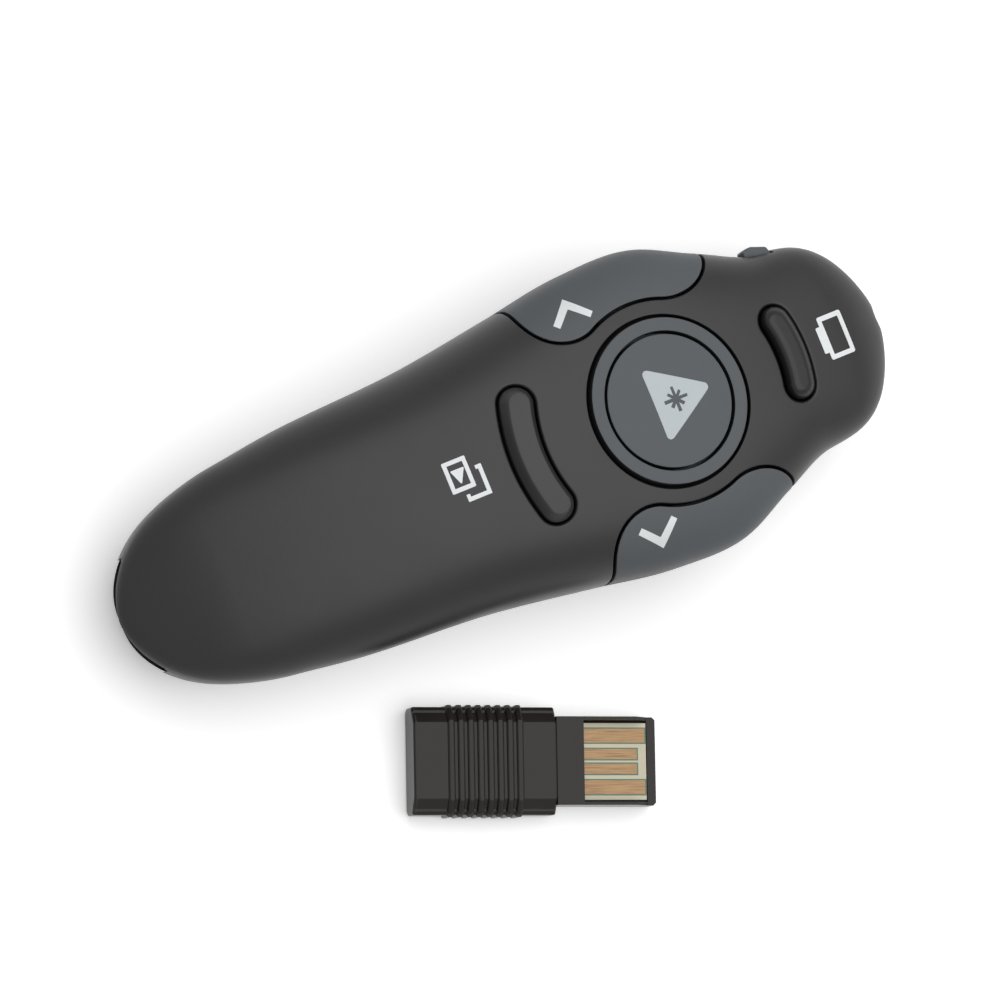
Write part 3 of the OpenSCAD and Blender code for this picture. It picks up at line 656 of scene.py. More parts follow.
class Notch:
    """Opening for the power slider in the left side."""

    x0, x1, r = 17.4, 24.7, 0.2
    top = float(seam(22.3)) + 3.4

    def near(self, p):
        x, y, z = p.T
        off, dz = x - (self.x0 + self.x1) / 2, z - self.top
        dx = np.abs(off) - (self.x1 - self.x0) / 2
        ox, oz = np.where((dz <= 0) | (dx > 0), dx, 0), np.where(dz > 0, dz, 0)
        d = np.where(dz <= 0, dx, np.hypot(ox, oz))
        size = np.hypot(ox, oz) + 1e-12
        g = cols(np.abs(ox) / size * np.sign(off), 0 * x, oz / size)
        return np.where(y > 5, d, FAR), g

    def rows(self, e):
        x0, x1, top = self.x0, self.x1, self.top
        rear, front = (np.array([[x, seam(x)], [x, top]]) for x in (x0 - e, x1 + e))
        corners = [arc((x0, top), e, pi, pi / 2, 4), arc((x1, top), e, pi / 2, 0, 4)] if e else []
        return [uv_xz(resample(join([rear, *corners, front[::-1]]), 0.3))]


SEAM_X = join([UX[::6], UX[-1:]])
SEAM_SIDE = cols(SEAM_X, half_w(SEAM_X), seam(SEAM_X))
SEAM_LINE = join([SEAM_SIDE, (SEAM_SIDE * (1, -1, 1))[-2::-1]])


class Seam:
    """Parting line between the two covers."""

    r = 0.2

    def near(self, p):
        d, g = np.full(len(p), FAR), np.tile((0.0, 0.0, 1.0), (len(p), 1))
        close = np.nonzero(p[:, 2] - seam(p[:, 0]) < 1.5)[0]
        for part in np.array_split(close, max(1, len(close) // 2000)):
            q = p[part]
            j = np.argmin(((q[:, None] - SEAM_LINE[None]) ** 2).sum(-1), 1)
            for k in (-1, 0):
                a, b = SEAM_LINE[(j + k) % len(SEAM_LINE)], SEAM_LINE[(j + k + 1) % len(SEAM_LINE)]
                ab = b - a
                t = np.clip(((q - a) * ab).sum(-1) / ((ab**2).sum(-1) + 1e-12), 0, 1)
                away = q - (a + t[:, None] * ab)
                dist = np.linalg.norm(away, axis=1)
                nearer = dist < d[part]
                d[part[nearer]] = dist[nearer]
                far = nearer & (dist > 2e-3)
                g[part[far]] = away[far] / dist[far, None]
                g[part[nearer & ~far]] = (0, 0, 1)
        return d, g

    def rows(self, e):
        u = np.interp(SEAM_X, UX, U)
        line = cols(u, np.interp(u, U, UL))
        line = join([line, (line * (1, -1))[-2::-1]])
        line = resample(line, 0.5)
        if e:
            step = np.roll(line, -1, 0) - np.roll(line, 1, 0)
            step[0] = step[-1] = (0, 1)
            across = cols(step[:, 1], -step[:, 0])
            line = line + e * unit(across)
            line[-1] = line[0]
        return [line]


class Rim:
    """Lower edge of a page button, above the seam by its travel and more."""

    r, rise = 0.25, 0.9

    def near(self, p):
        return p[:, 2] - seam(p[:, 0]) - self.rise, np.tile((0.0, 0.0, 1.0), (len(p), 1))

    def rows(self, e):
        x = np.arange(-16, 17, 0.4)
        return [uv_xz(cols(x, seam(x) + self.rise + e))]


class Window:
    """Upper half of the laser's bore through the nose."""

    radius, axis, r = 2.25, 11.6, 0.15

    def near(self, p):
        rho = np.hypot(p[:, 1], p[:, 2] - self.axis) + 1e-12
        g = cols(0 * rho, p[:, 1] / rho, (p[:, 2] - self.axis) / rho)
        return np.where(p[:, 0] > 25, rho - self.radius, FAR), g

    def rows(self, e):
        a, r = np.linspace(-pi / 2, pi / 2, 49), self.radius + e
        y, z = r * np.sin(a), self.axis + r * np.cos(a)
        low, high = np.full(len(a), 30.0), np.full(len(a), X1 - 1e-6)
        for _ in range(50):
            x = (low + high) / 2
            n, over = crown_n(x), np.maximum(z - seam(x), 0) / (crown(x) - seam(x))
            beyond = (np.abs(y) / half_w(x)) ** n + over**n > 1
            low, high = np.where(beyond, low, x), np.where(beyond, x, high)
        row = uv_xy(cols(x, y))
        row[[0, -1], 1] = np.interp(row[[0, -1], 0], U, UL) * (-1, 1)
        return [row]


def shell(features, u_lim, v_lim, wall, step=0.7):
    """Closed shell of the upper surface where every feature's distance is positive, with rounded edges.

    Returns the piece and the normals of its outer points."""
    grid = hex_grid(*u_lim, *v_lim, step)
    grid = grid[np.abs(grid[:, 1]) < np.interp(grid[:, 0], U, UL) - 0.1]
    p = from_uv(grid)
    clear = np.all([f.near(p)[0] > f.r + 0.3 * step for f in features], 0)
    lines = [row for f in features for e in edge_steps(5) for row in f.rows(f.r * e)]

    def keep(c):
        u, v = c.T
        q = from_uv(c)
        here = np.abs(v) < np.interp(u, U, UL), v > v_lim[0], v < v_lim[1]
        return np.all([*here, *(f.near(q)[0] > 0 for f in features)], 0)

    uv, faces = triangulate(grid[clear], lines, keep)
    p = from_uv(uv)
    nor = normal(p)
    drop, tilt = np.zeros(len(p)), nor.copy()
    under = inward(p, wall) - p
    for f in features:
        d, g = f.near(p)
        d = np.where(d < 3e-4, 0, d)
        sine, cosine = edge_slope(d, f.r)
        fall = f.r * (1 - cosine)
        flat = unit(g - (g * nor).sum(1)[:, None] * nor, 1e-12)
        more = fall > drop
        tilt = np.where(more[:, None], cosine[:, None] * nor - sine[:, None] * flat, tilt)
        drop = np.maximum(drop, fall)
        if not isinstance(f, Seam):
            weight = np.clip(1 - d / 2.5, 0, 1) * (under * g).sum(1)
            under = under - weight[:, None] * g
    piece = slab(p - drop[:, None] * nor, p + under, faces)
    return piece, tilt


# Bar keys' slots: radius and half angle of the middle line, width, and the side of the ring
PLAY_SLOT, BLANK_SLOT = (21.45, np.radians(19.6), 5.3, -1), (19.65, np.radians(13.2), 4.9, 1)
SWITCH_TOP = 18.75  # where the keys' stems stand
SCREW_X, SCREW_Y = 13.9, 6.6  # front bosses
COVER = [Ring(), Bar(*PLAY_SLOT), Bar(*BLANK_SLOT), Page(-1), Notch(), Window(), Seam()]
piece, normals = shell(COVER, (-1, U[-1] + 1), (-UL.max() - 1, UL.max() + 1), WALL)
v, f = lathe([(10.3, -3.2), (12.4, -3.2), (12.4, -1.35), (11.83, -1.35), (11.83, -2), (10.3, -2)], 160, True)
bosses = [
    tube(1.08, 2.1, 11, top, (x, s * y))
    for x, y, top in ((-47, 11.7, 18.0), (SCREW_X, SCREW_Y, 21.2))
    for s in (-1, 1)
]
parts = [piece, (on_ring(v), f), *bosses]
paint_side_shade(add("top_cover_shell", parts, SHELL, "root", ["top_cover"], normals=normals), normal)

for s, name in ((1, "page_back_button"), (-1, "page_forward_button")):
    piece, normals = shell([Page(1), Rim()], np.interp([-16, 17], UX, U), (5, UL.max() + 1), 1.8, 0.6)
    parts = [piece, cylinder(1.3, SWITCH_TOP, 21.6, (-1, 15.4), 48)]
    if s < 0:
        parts = [(q * (1, -1, 1), [tuple(face[::-1]) for face in g]) for q, g in parts]
        normals = normals * (1, -1, 1)
    paint_side_shade(add(name + "_cap", parts, KEYS, name, [name], normals=normals), normal)

# ------ ring and laser button
RING_IN, RING_OUT, RING_EDGE = 9.45, 11.3, 0.15
ring = [(RING_IN, -2), (RING_OUT, -2)]
ring += rounded_corner((RING_OUT - RING_EDGE, -RING_EDGE), RING_EDGE, 0)
ring += rounded_corner((RING_IN + RING_EDGE, -RING_EDGE), RING_EDGE, pi / 2)


def up_from_ring(points):
    return SP, 0, CP


v, f = lathe(ring, 192, True)
paint_side_shade(add("ring_trim", [(on_ring(v), f)], KEYS, "root", ["trim_ring"], sharp=50), up_from_ring)

DOME_R = (9.05**2 + 0.5**2) / (2 * 0.5)


def dome(r):
    return 0.4 - DOME_R + np.sqrt(DOME_R**2 - r**2)


cap = [(0, -5.76), (2, -5.76), (2, -2.9), (9.9, -2.9), (9.9, -2.3), (9.05, -2.3), (9.05, dome(8.9) - 0.17)]
cap += [(8.9 + 0.15 * np.cos(a), dome(8.9) - 0.15 + 0.15 * np.sin(a)) for a in np.radians((15, 35, 55, 75))]
cap += [(r, dome(r)) for r in np.linspace(8.87, 0, 24)]
v, f = lathe(cap, 192)
ob = add("laser_cap", [(on_ring(v), f)], KEYS, "laser_button", ["laser_button"], sharp=50)
paint_side_shade(ob, up_from_ring)

# ------ bar keys
def bar_cap(radius, span, slot_w, side, proud, r, z0, slope=0.0):
    """Key whose top follows the cover, with an edge of radius r, or with sloping sides r wide."""
    w = slot_w - 0.76
    rims = np.linspace(0, 1.5 * r, 13) if slope else r * edge_steps(8)
    fine = [bar_line(radius, span, w - 2 * e, side, 0.35) for e in rims]

    def depth(p):
        return w / 2 - bar_distance(p, radius, span, side)[0]

    grid = hex_grid(-26, 26, -10, 10, 0.5)
    v, f = triangulate(grid[depth(grid) > rims[-1] + 0.15], fine, lambda c: depth(c) > 0)
    x, y = v.T
    out = bar_distance(v, radius, span, side)[1]
    d = np.clip(depth(v), 0, None)
    base = normal(cols(x, y, top_z(x, y)))
    if slope:
        u = slope * (r - d)
        root = np.hypot(u, 0.16)
        drop, lean = (u + root) / 2, slope * (1 + u / root) / 2
        tilt = unit(base + lean[:, None] * out)
    else:
        sine, cosine = edge_slope(np.where(d < 3e-4, 0, d), r)
        drop = r * (1 - cosine)
        tilt = cosine[:, None] * base + sine[:, None] * out
    z = top_z(x, y) + proud - drop
    return slab(cols(x, y, z), cols(x, y, 0 * x + z0), f), tilt


EAR_T = 0.8
for name, slot, form, ears, mat in (
    ("play_key", PLAY_SLOT, (1.5, 0.8, 20.9, 1.73), 3.0, BAR),
    ("blank_key", BLANK_SLOT, (1.5, 1.5, SWITCH_TOP), 2.8, GLOSS_BAR),
):
    piece, normals = bar_cap(*slot, *form)
    parts = [piece]
    radius, span, _, side = slot
    for s in (-1, 1):
        x, y = radius * np.array([np.cos(span), s * np.sin(span)]) * side
        ceiling = min(float(top_z(x + 2.9 * np.cos(a), y + 2.9 * np.sin(a))) for a in np.linspace(0, 6.3, 16))
        top = max(ceiling - 2.4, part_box(name)[0][2] / MM + EAR_T)
        parts.append(cylinder(ears, top - EAR_T, top, (x, y)))
    if name == "play_key":
        parts.append(cylinder(1.6, SWITCH_TOP, 22, (-radius, 0), 48))
    paint_side_shade(add(name + "_cap", parts, mat, name, [name], normals=normals), normal, 0.4)

# ------ power slider
SLIDER_X, SLIDER_Z, WALL_Y = 22.3, float(seam(22.3)) + 0.3, float(half_w(22.3))
outline = [(-1.65, -4.6), (2.3, -4.6), (2.3, -1.2), (1.9, 0.22), (-0.35, 1.03), (-1.65, 0.72)]
outline = np.array(outline) + (SLIDER_X, WALL_Y)
knob = loft([np.c_[outline, np.full(6, z)] for z in (SLIDER_Z, SLIDER_Z + 2.66)])
leaf = box(SLIDER_X - 4.6, SLIDER_X + 4.6, WALL_Y - 5.3, WALL_Y - 4.5, SLIDER_Z - 0.7, SLIDER_Z + 3.5)
lever = box(SLIDER_X - 0.6, SLIDER_X + 0.6, WALL_Y - 7.3, WALL_Y - 4.0, 13.05, 14.05)
slider = solid([knob, leaf, lever])
round_edges(slider, 0.25, 3, 30)
weigh(finish(slider, "slider_knob", KEYS, "power_slider", ["power_slider"]))

# ------ bottom cover and door
def canoe(t=0.0, groove=0.0):
    """Closed solid of the form below the seam, drawn in by t, with its flat underside."""
    xs = stations(60, 180)[1:-1]
    down = (seam(xs) - belly(xs))[:, None]
    near = np.minimum([[0, 0.0152, 0.0586, 0.1235, 0.2, 0.32]], down * np.linspace(0, 0.3, 6))
    a0 = np.arcsin((near / down) ** (BELLY_N / 2))
    s = np.linspace(0, 1, 64)[1:]
    rest = a0[:, -1:] + (pi / 2 - a0[:, -1:]) * (1 - (1 - s) ** 1.6)[None]
    a = join([a0, rest], 1)
    x = np.repeat(xs[:, None], a.shape[1], 1)
    y = half_w(x) * np.maximum(np.cos(a), 0) ** (2 / BELLY_N)
    z = seam(x) - down * np.sin(a) ** (2 / BELLY_N)
    p = cols(x, y, z)
    if groove:
        q = p.reshape(-1, 3).copy()
        q[:, 2] = np.minimum(q[:, 2], seam(q[:, 0]) - 1e-6)
        nor = normal(q).reshape(p.shape)
        cosine = edge_slope(seam(x) - z, groove)[1]
        p = p - (groove * (1 - cosine))[..., None] * nor
        p[:, 0, 2] = seam(xs)
    if t:
        p = inward(p.reshape(-1, 3) - (0, 0, 1e-7), t).reshape(p.shape)
    else:
        soft = 0.8
        p[..., 2] = np.maximum(p[..., 2], 0) + np.maximum(soft - np.abs(p[..., 2]), 0) ** 2 / (4 * soft)
    both = join([p, (p * (1, -1, 1))[:, -2::-1]], 1)
    m, n = both.shape[:2]
    tips = inward(np.array([[X0, 0, seam(X0)], [X1, 0, seam(X1)]]), t)
    f = []
    for i in range(m - 1):
        row = i * n
        f += [(row + j, row + n + j, row + n + j + 1, row + j + 1) for j in range(n - 1)]
        f.append((row, row + n - 1, row + 2 * n - 1, row + n))
    last, tip = (m - 1) * n, m * n
    f += [(tip, j, (j + 1) % n) for j in range(n)]
    f += [(tip + 1, last + (j + 1) % n, last + j) for j in range(n)]
    return join([both.reshape(-1, 3), tips]), f


BAY_END, DOOR_FRONT, DOOR_T, DOOR_TOP = -43.4, 7.4, 1.6, 1.85
RX_BAY_Y = 8.01
low = solid([canoe(0, 0.2)])
cavity = solid([canoe(1.4)])
carve(cavity, box(-80, BAY_END + 1.6, -30, 30, -9, 3.6), box(BAY_END, 40, -30, 30, -9, DOOR_TOP))
combine(low, cavity, "DIFFERENCE")
carve(
    low,
    box(-90, BAY_END + 0.26, -30, 30, -1, DOOR_TOP + 0.01),
    box(BAY_END - 1, DOOR_FRONT + 0.26, -11.26, 11.26, -1, DOOR_TOP + 0.01),
    box(BAY_END - 1, 3.66, -12.16, 12.16, 0.64, DOOR_TOP + 0.01),
    box(-90, BAY_END, -RX_BAY_Y, RX_BAY_Y, 3.59, 9.81),
    box(-90, -67.99, -RX_BAY_Y, RX_BAY_Y, 3.6, 30),
    cylinder(2.06, -1, 3, (SCREW_X, SCREW_Y)),
    cylinder(2.06, -1, 3, (SCREW_X, -SCREW_Y)),
    laid(cylinder(2.26, 0, 9), (29, 0, Window.axis)),
    box(Notch.x0, Notch.x1, 8, 30, 11.6, 20),
)


def draw_in(bm):
    """The CAD cover's outer skin moved in under the smooth one, so that only its inside counts."""
    co = np.array([tuple(v.co) for v in bm.verts]) / MM
    x, y, z = co.T
    w, s = half_w(x), seam(x)
    size = ((np.abs(y) / w) ** BELLY_N + (np.abs(z - s) / (s - belly(x))) ** BELLY_N) ** (1 / BELLY_N)
    skin = (size > 0.955) | (np.abs(y) > w - 0.3)
    ends = (x < X0 + 0.6) | (x > X1 - 0.6)
    for vert, p, nor, is_skin, is_end in zip(bm.verts, co, normal(co), skin, ends):
        if p[2] < 1e-4:
            vert.co.z = 0.12 * MM
        if is_skin:
            shift = -0.4 * nor * (1, 1, 0 if p[2] > seam(p[0]) - 0.3 else 1)
            vert.co = Vector(((p + shift) * MM).tolist())
        if is_end:
            vert.co.x -= np.sign(p[0]) * 0.5 * MM


combine(low, node_copy("bottom_cover", draw_in), "UNION")
weigh(finish(low, "bottom_cover_shell", SHELL, "root", ["bottom_cover"]))

door, tongue = solid([canoe()]), solid([canoe()])
combine(door, solid([box(-90, BAY_END, -30, 30, -1, DOOR_T)]), "INTERSECT")
combine(tongue, solid([box(BAY_END - 1, DOOR_FRONT, -11, 11, -1, DOOR_T)]), "INTERSECT")
combine(door, tongue, "UNION")
combine(door, solid([box(BAY_END - 1, 3.4, -11.9, 11.9, 0.9, DOOR_T)]), "UNION")

# Thumb dip with grip ribs, cut from a ball
arc_down = [(15 * np.cos(a), 15 * np.sin(a)) for a in np.linspace(-pi / 2, pi / 2, 181)]
dip = solid([lathe(arc_down, 192)])
carve(dip, *(box(i * 2 - 0.4, i * 2 + 0.4, -16, 16, -2, 20) for i in range(-2, 3)))
dip.data.transform(Matrix.Translation(Vector((-4.6, 0, -14.2)) * MM))
combine(door, dip, "DIFFERENCE")
weigh(finish(door, "door_panel", SHELL, "battery_door", ["battery_door"]))

# ------ prints
def closed_line(outline, step=0.2):
    """Closed line through an outline's corners, cut into short steps."""
    pts, line = np.array([*outline, outline[0]], float), []
    for a, b in zip(pts, pts[1:]):
        n = max(1, int(np.ceil(np.linalg.norm(b - a) / step)))
        line.append(a + (b - a) * np.arange(n)[:, None] / n)
    return join([*line, pts[:1]])


def ink(name, shapes, place, body, mat=INK, holes=(), islands=()):
    """Thin print of closed outlines, less holes, with islands in them, laid on by place(points, height)."""

    def within(c, line):
        a, b = line[:-1], line[1:]
        x, y = c[:, 0, None], c[:, 1, None]
        cross = (a[:, 1] > y) != (b[:, 1] > y)
        rise = np.where(b[:, 1] == a[:, 1], 1, b[:, 1] - a[:, 1])
        at = a[:, 0] + (y - a[:, 1]) * (b[:, 0] - a[:, 0]) / rise
        return (cross & (x < at)).sum(1) % 2 == 1

    shapes, holes, islands = (list(map(closed_line, lines)) for lines in (shapes, holes, islands))

    def keep(c):
        ok = np.zeros(len(c), bool)
        for lines, printed in ((shapes, True), (holes, False), (islands, True)):
            for line in lines:
                ok[within(c, line)] = printed
        return ok

    every = join(shapes)
    (x0, y0), (x1, y1) = every.min(0), every.max(0)
    v, f = triangulate(hex_grid(x0, x1, y0, y1, 0.5), shapes + holes + islands, keep)
    add(name, [slab(place(v, 0.014), place(v, -0.03), f)], mat, body, sharp=60)


def on_cover(p, h):
    q = cols(p[:, 0], p[:, 1], top_z(p[:, 0], p[:, 1]))
    return q + h * normal(q)


def on_cap(p, h):
    return on_ring(cols(p[:, 0], p[:, 1], dome(np.hypot(*p.T)) + h))


def rect(x0, x1, y0, y1, r=0.0):
    if not r:
        return [(x0, y0), (x1, y0), (x1, y1), (x0, y1)]
    corners = (x1 - r, y0 + r, -0.5), (x1 - r, y1 - r, 0), (x0 + r, y1 - r, 0.5), (x0 + r, y0 + r, 1)
    return [p for x, y, a in corners for p in rounded_corner((x, y), r, a * pi)]


def chevron(outer, inner, ends, stroke):
    """Outline of an arrow head: its outer and inner corners, and the middles of its two ends."""
    mid = (np.array(outer) + inner) / 2
    corners = []
    for e, s in zip(np.array(ends), (1, -1)):
        d = unit(e - mid)
        n = np.array([-d[1], d[0]]) * stroke / 2
        corners.append((e - s * n, e + s * n))
    return [outer, *corners[0], inner, *corners[1][::-1]]


MARK = chevron((-7.65, 17.92), (-7.81, 16.40), ((-10.42, 14.67), (-5.26, 14.60)), 0.95)
ink("page_back_mark", [MARK], on_cover, "page_back_button", BRIGHT_INK)
ink("page_forward_mark", [[(x, -y) for x, y in MARK[::-1]]], on_cover, "page_forward_button", BRIGHT_INK)


def rounded_triangle(*corners, r):
    """Triangle grown by r, with round corners."""
    pts, line = np.array(corners, float), []
    for i in range(3):
        sides = pts[i] - pts[i - 1], pts[(i + 1) % 3] - pts[i]
        a0, a1 = (np.arctan2(-x, y) for x, y in sides)
        line += [tuple(p) for p in arc(pts[i], r, a0, a0 + (a1 - a0) % (2 * pi), 6)]
    return line


def ray(a, reach, w=0.52):
    """Stroke through the star's middle, a little thinner at one end."""
    d, n = np.array([np.cos(a), np.sin(a)]) * reach, np.array([-np.sin(a), np.cos(a)]) * w / 2
    return [STAR - d - n, STAR + d - n * 0.8, STAR + d + n * 0.8, STAR - d + n]


STAR = np.array([0.70, -0.1])
rays = [ray(a * pi / 4, reach) for a, reach in ((0, 1.8), (2, 1.75), (1, 1.35), (3, 1.35))]
triangle = rounded_triangle((-1.95, -4.3), (5.3, 0), (-1.95, 4.3), r=0.6)
ink("laser_mark", [triangle], on_cap, "laser_button", holes=rays)
screens = [
    rect(-32.85, -29.5, -0.8, 3.57, 0.15),
    rect(-28.42, -27.85, -2.46, 1.79, 0.1),
    rect(-28.75, -28.3, 1.25, 1.79, 0.1),
    rect(-31.22, -28.0, -2.46, -1.88, 0.1),
    rect(-31.22, -30.72, -2.3, -1.45, 0.1),
]
sign = rounded_triangle((-31.93, 2.1), (-31.21, 0.35), (-30.3, 2.08), r=0.12)
ink("play_mark", screens, on_cover, "root", BRIGHT_INK, [rect(-32.28, -30.06, -0.2, 2.99)], [sign])
screens = [rect(25.08, 29.13, -3.22, 2.87, 0.3), rect(24.38, 25.2, -2.1, 1.6, 0.15)]
ink("blank_mark", screens, on_cover, "root", BRIGHT_INK, [rect(25.74, 28.43, -2.58, 2.19, 0.1)])

# ------ receiver
RX_W, RX_T, SPLIT, RX_LEN = 7.6, 5.4, 4.1, 20.0
TURN = np.radians(-22)


def at_receiver(p):
    """Points in the receiver's own frame, x to its plug, put where it lies."""
    x, y, z = np.asarray(p, float).T
    c, s = np.cos(TURN), np.sin(TURN)
    return cols(x * c - y * s - 27.7, x * s + y * c - 39.2, z)


def rounded_poly(pts, radii, n=4):
    """Counter-clockwise outline with rounded corners, always the same number of points."""
    pts, line = np.array(pts, float), []
    for i, r in enumerate(radii):
        to_last, to_next = pts[i - 1] - pts[i], pts[(i + 1) % len(pts)] - pts[i]
        long_a, long_b = np.linalg.norm(to_last), np.linalg.norm(to_next)
        a, b = to_last / long_a, to_next / long_b
        half = np.arccos(np.clip(a @ b, -1, 1)) / 2
        reach = min(r / np.tan(half), 0.45 * long_a, 0.45 * long_b)
        r = reach * np.tan(half)
        c = pts[i] + unit(a + b) * r / np.sin(half)
        u, v = pts[i] + a * reach - c, pts[i] + b * reach - c
        a0 = np.arctan2(u[1], u[0])
        turn = (np.arctan2(v[1], v[0]) - a0 + pi) % (2 * pi) - pi
        line.append(arc(c, r, a0, a0 + turn, n))
    return join(line)


def housing_section(d, lid):
    """Outline (y, z) of the housing's lid or tub, in by d."""
    d = max(d, 0.03)
    w, t, wl = RX_W - d, RX_T - d, RX_W - d - d * 2.2 / 1.3
    if lid:
        return rounded_poly([(-wl, SPLIT), (wl, SPLIT), (w - 2.2, t), (2.2 - w, t)], (0.12, 0.12, 0.6, 0.6))
    low, high = d + 0.5, SPLIT - d
    pts = [(-w, low), (0.5 - w, d), (w - 0.5, d), (w, low), (w, high), (wl, SPLIT), (-wl, SPLIT), (-w, high)]
    return rounded_poly(pts, (0.25, 0.25, 0.25, 0.25, 0.3, 0.1, 0.1, 0.3))


def housing(lid):
    """Lid or tub of the receiver, with its eight grip ribs and rounded ends."""
    ribs = -RX_LEN / 2 + (np.arange(8) - 3.5) * 1.37
    edge, beside = 0.35, (0, 0.18, 0.28, 0.36, 0.42, 0.46, 0.5)
    xs = set(np.round(np.arange(-RX_LEN + edge, -0.3, 0.25), 3))
    for c in ribs:
        xs = {x for x in xs if abs(x - c) > 0.52} | {c + s * t for t in beside for s in (-1, 1)}
    rings = []
    ends = edge * edge_steps(6)
    for x in [*(-RX_LEN + ends), *sorted(xs), *(-ends[::-1])]:
        cosine = edge_slope(min(x + RX_LEN, -x), edge)[1]
        d = 0.3 * min(1.0, np.min(np.abs(x - ribs)) / 0.5) ** 3 + edge * (1 - cosine)
        q = housing_section(d, lid)
        rings.append(at_receiver(np.c_[np.full(len(q), x), q]))
    return loft(rings)


SMOKE = material("smoky_plastic", rgb(37, 35, 34), 0.2, 0.17, vary=0.12, vary_scale=160, grain=900, bump=0.03,
                 rough_vary=0.05, second=rgb(44, 40, 38))
weigh(add("receiver_lid", [housing(True)], SMOKE, "receiver", ["receiver_top"], sharp=40))
weigh(add("receiver_tub", [housing(False)], SMOKE, "receiver", ["receiver_bottom"], sharp=40))


def flatten(bm):
    bmesh.ops.dissolve_limit(bm, angle_limit=np.radians(1), verts=bm.verts, edges=bm.edges)


plug = node_copy("receiver_plug", flatten)
round_edges(plug, 0.1, 2, 25)
weigh(finish(plug, "receiver_plug_frame", SMOKE, "receiver", ["receiver_plug"]))

CREAM = material("bare_board", rgb(196, 190, 166), 0.5, 0.4, vary_scale=700, grain=4000, bump=0.08)
MASK = material("board_edge_green", rgb(62, 104, 84), 0.45, 0.5, vary=0.12, vary_scale=900, grain=3000)


def streaks(tree, where, base):
    """Scratches along the receiver."""
    long = {"Rotation": (0, 0, TURN), "Scale": (1 / 250, 1 / 9000, 1)}
    turned = shader(tree, "Mapping", vector_type="TEXTURE", Vector=where, **long)
    noise = shader(tree, "TexNoise", Vector=turned, Scale=1, Detail=3)
    worn = shader(tree, "MapRange", Value=noise, From_Min=0.4, From_Max=0.7)
    return shader(tree, "Mix", out="Result", data_type="RGBA", Factor=worn, A=base, B=rgb(122, 92, 62))


GOLD = material("contact_gold", rgb(160, 128, 88), 0.4, 0.4, metallic=0.2, vary=0.1, vary_scale=1500,
                grain=6000, bump=0.1, rough_vary=0.1, pattern=streaks)
frames = [
    box(3.7, end + 0.18, s * y - w / 2 - 0.17, s * y + w / 2 + 0.17, 3.19, 3.225)
    for s in (-1, 1)
    for y, w, end in ((3.5, 1.9, 12.8), (1.0, 1.4, 11.7))
]
add("receiver_pad_frames", [(at_receiver(v), f) for v, f in frames], MASK, "receiver", sharp=30)

# ------ pieces inside
TIN = rgb(188, 190, 193)
METAL = {"metallic": 1.0, "rough_vary": 0.1}
STEEL = material("nickel_steel", TIN, 0.3, 0.5, vary=0.06, vary_scale=500, grain=4000, bump=0.08, **METAL)
BOARD = material("dark_board", rgb(20, 30, 25), 0.5, 0.4, vary=0.12, vary_scale=400, grain=2500, bump=0.06)
BLACK = material("switch_black", rgb(38, 38, 40), 0.45, 0.5, vary=0.08, vary_scale=600, grain=4000, bump=0.06)
EPOXY = material("chip_epoxy", rgb(34, 34, 36), 0.55, 0.4, vary=0.1, vary_scale=900, grain=6000, bump=0.2)
BRASS = material("barrel_brass", rgb(196, 160, 96), 0.3, 0.5, vary=0.08, vary_scale=400, grain=3000,
                 bump=0.06, **METAL)
GLASS = material("red_window", rgb(96, 16, 18), 0.08, 0.6, vary_scale=300, bump=0, rough_vary=0.02, coat=0.5)
SCREW = material("black_zinc", rgb(110, 112, 116), 0.35, 0.5, metallic=1.0, vary=0.1, vary_scale=900,
                 grain=5000, bump=0.1, rough_vary=0.12)


def bands(stops):
    """Pattern of plain bands along x: (from x, colour, metal), in rising x."""

    def paint(tree, where, base):
        x, metal = shader(tree, "SeparateXYZ", where, out="X"), 1.0
        for start, color, shine in stops:
            past = shader(tree, "Math", x, start * MM, operation="GREATER_THAN")
            base = shader(tree, "Mix", out="Result", data_type="RGBA", Factor=past, A=base, B=color)
            metal = shader(tree, "Mix", out="Result", Factor=past, A=metal, B=shine)
        feed(tree, tree.nodes["Principled BSDF"], {"Metallic": metal})
        return base

    return paint


def coat_node(name, mat):
    slots = NODES[name].data.materials
    slots.clear()
    slots.append(mat)


WRAP, BAND = rgb(44, 58, 74), rgb(186, 150, 92)
for name, stops in (
    ("battery_left", ((-38.6, WRAP, 0.0), (-6, BAND, 0.6), (3.0, WRAP, 0.0), (3.7, TIN, 1.0))),
    ("battery_right", ((-39.5, WRAP, 0.0), (-38.8, BAND, 0.6), (-30, WRAP, 0.0), (2.8, TIN, 1.0))),
):
    look = {"vary_scale": 300, "grain": 2500, "bump": 0.03, "pattern": bands(stops)}
    coat_node(name, material(name + "_wrap", TIN, 0.3, 0.5, **look))

for mat, names in (
    (STEEL, "slide_switch contact_plates"),
    (BOARD, "main_board"),
    (BLACK, "push_switches"),
    (EPOXY, "board_chips receiver_chip"),
    (BRASS, "laser_barrel"),
    (GLASS, "laser_window"),
    (SCREW, "case_screws"),
    (CREAM, "receiver_board"),
    (GOLD, "receiver_pads"),
):
    for name in names.split():
        coat_node(name, mat)


def spring(r0, r1, length, turns, wire):
    """Coil of thick wire that narrows from r0 to r1 as it rises."""
    b = 2 * pi * np.arange(12) / 12
    rings = []
    for u in np.linspace(0, 1, 40 * turns + 1):
        a = 2 * pi * turns * u
        out = r0 + (r1 - r0) * u + wire * np.cos(b)
        z = wire + (length - 2 * wire) * u + wire * np.sin(b)
        rings.append(cols(out * np.cos(a), out * np.sin(a), z)[::-1])
    return loft(rings)


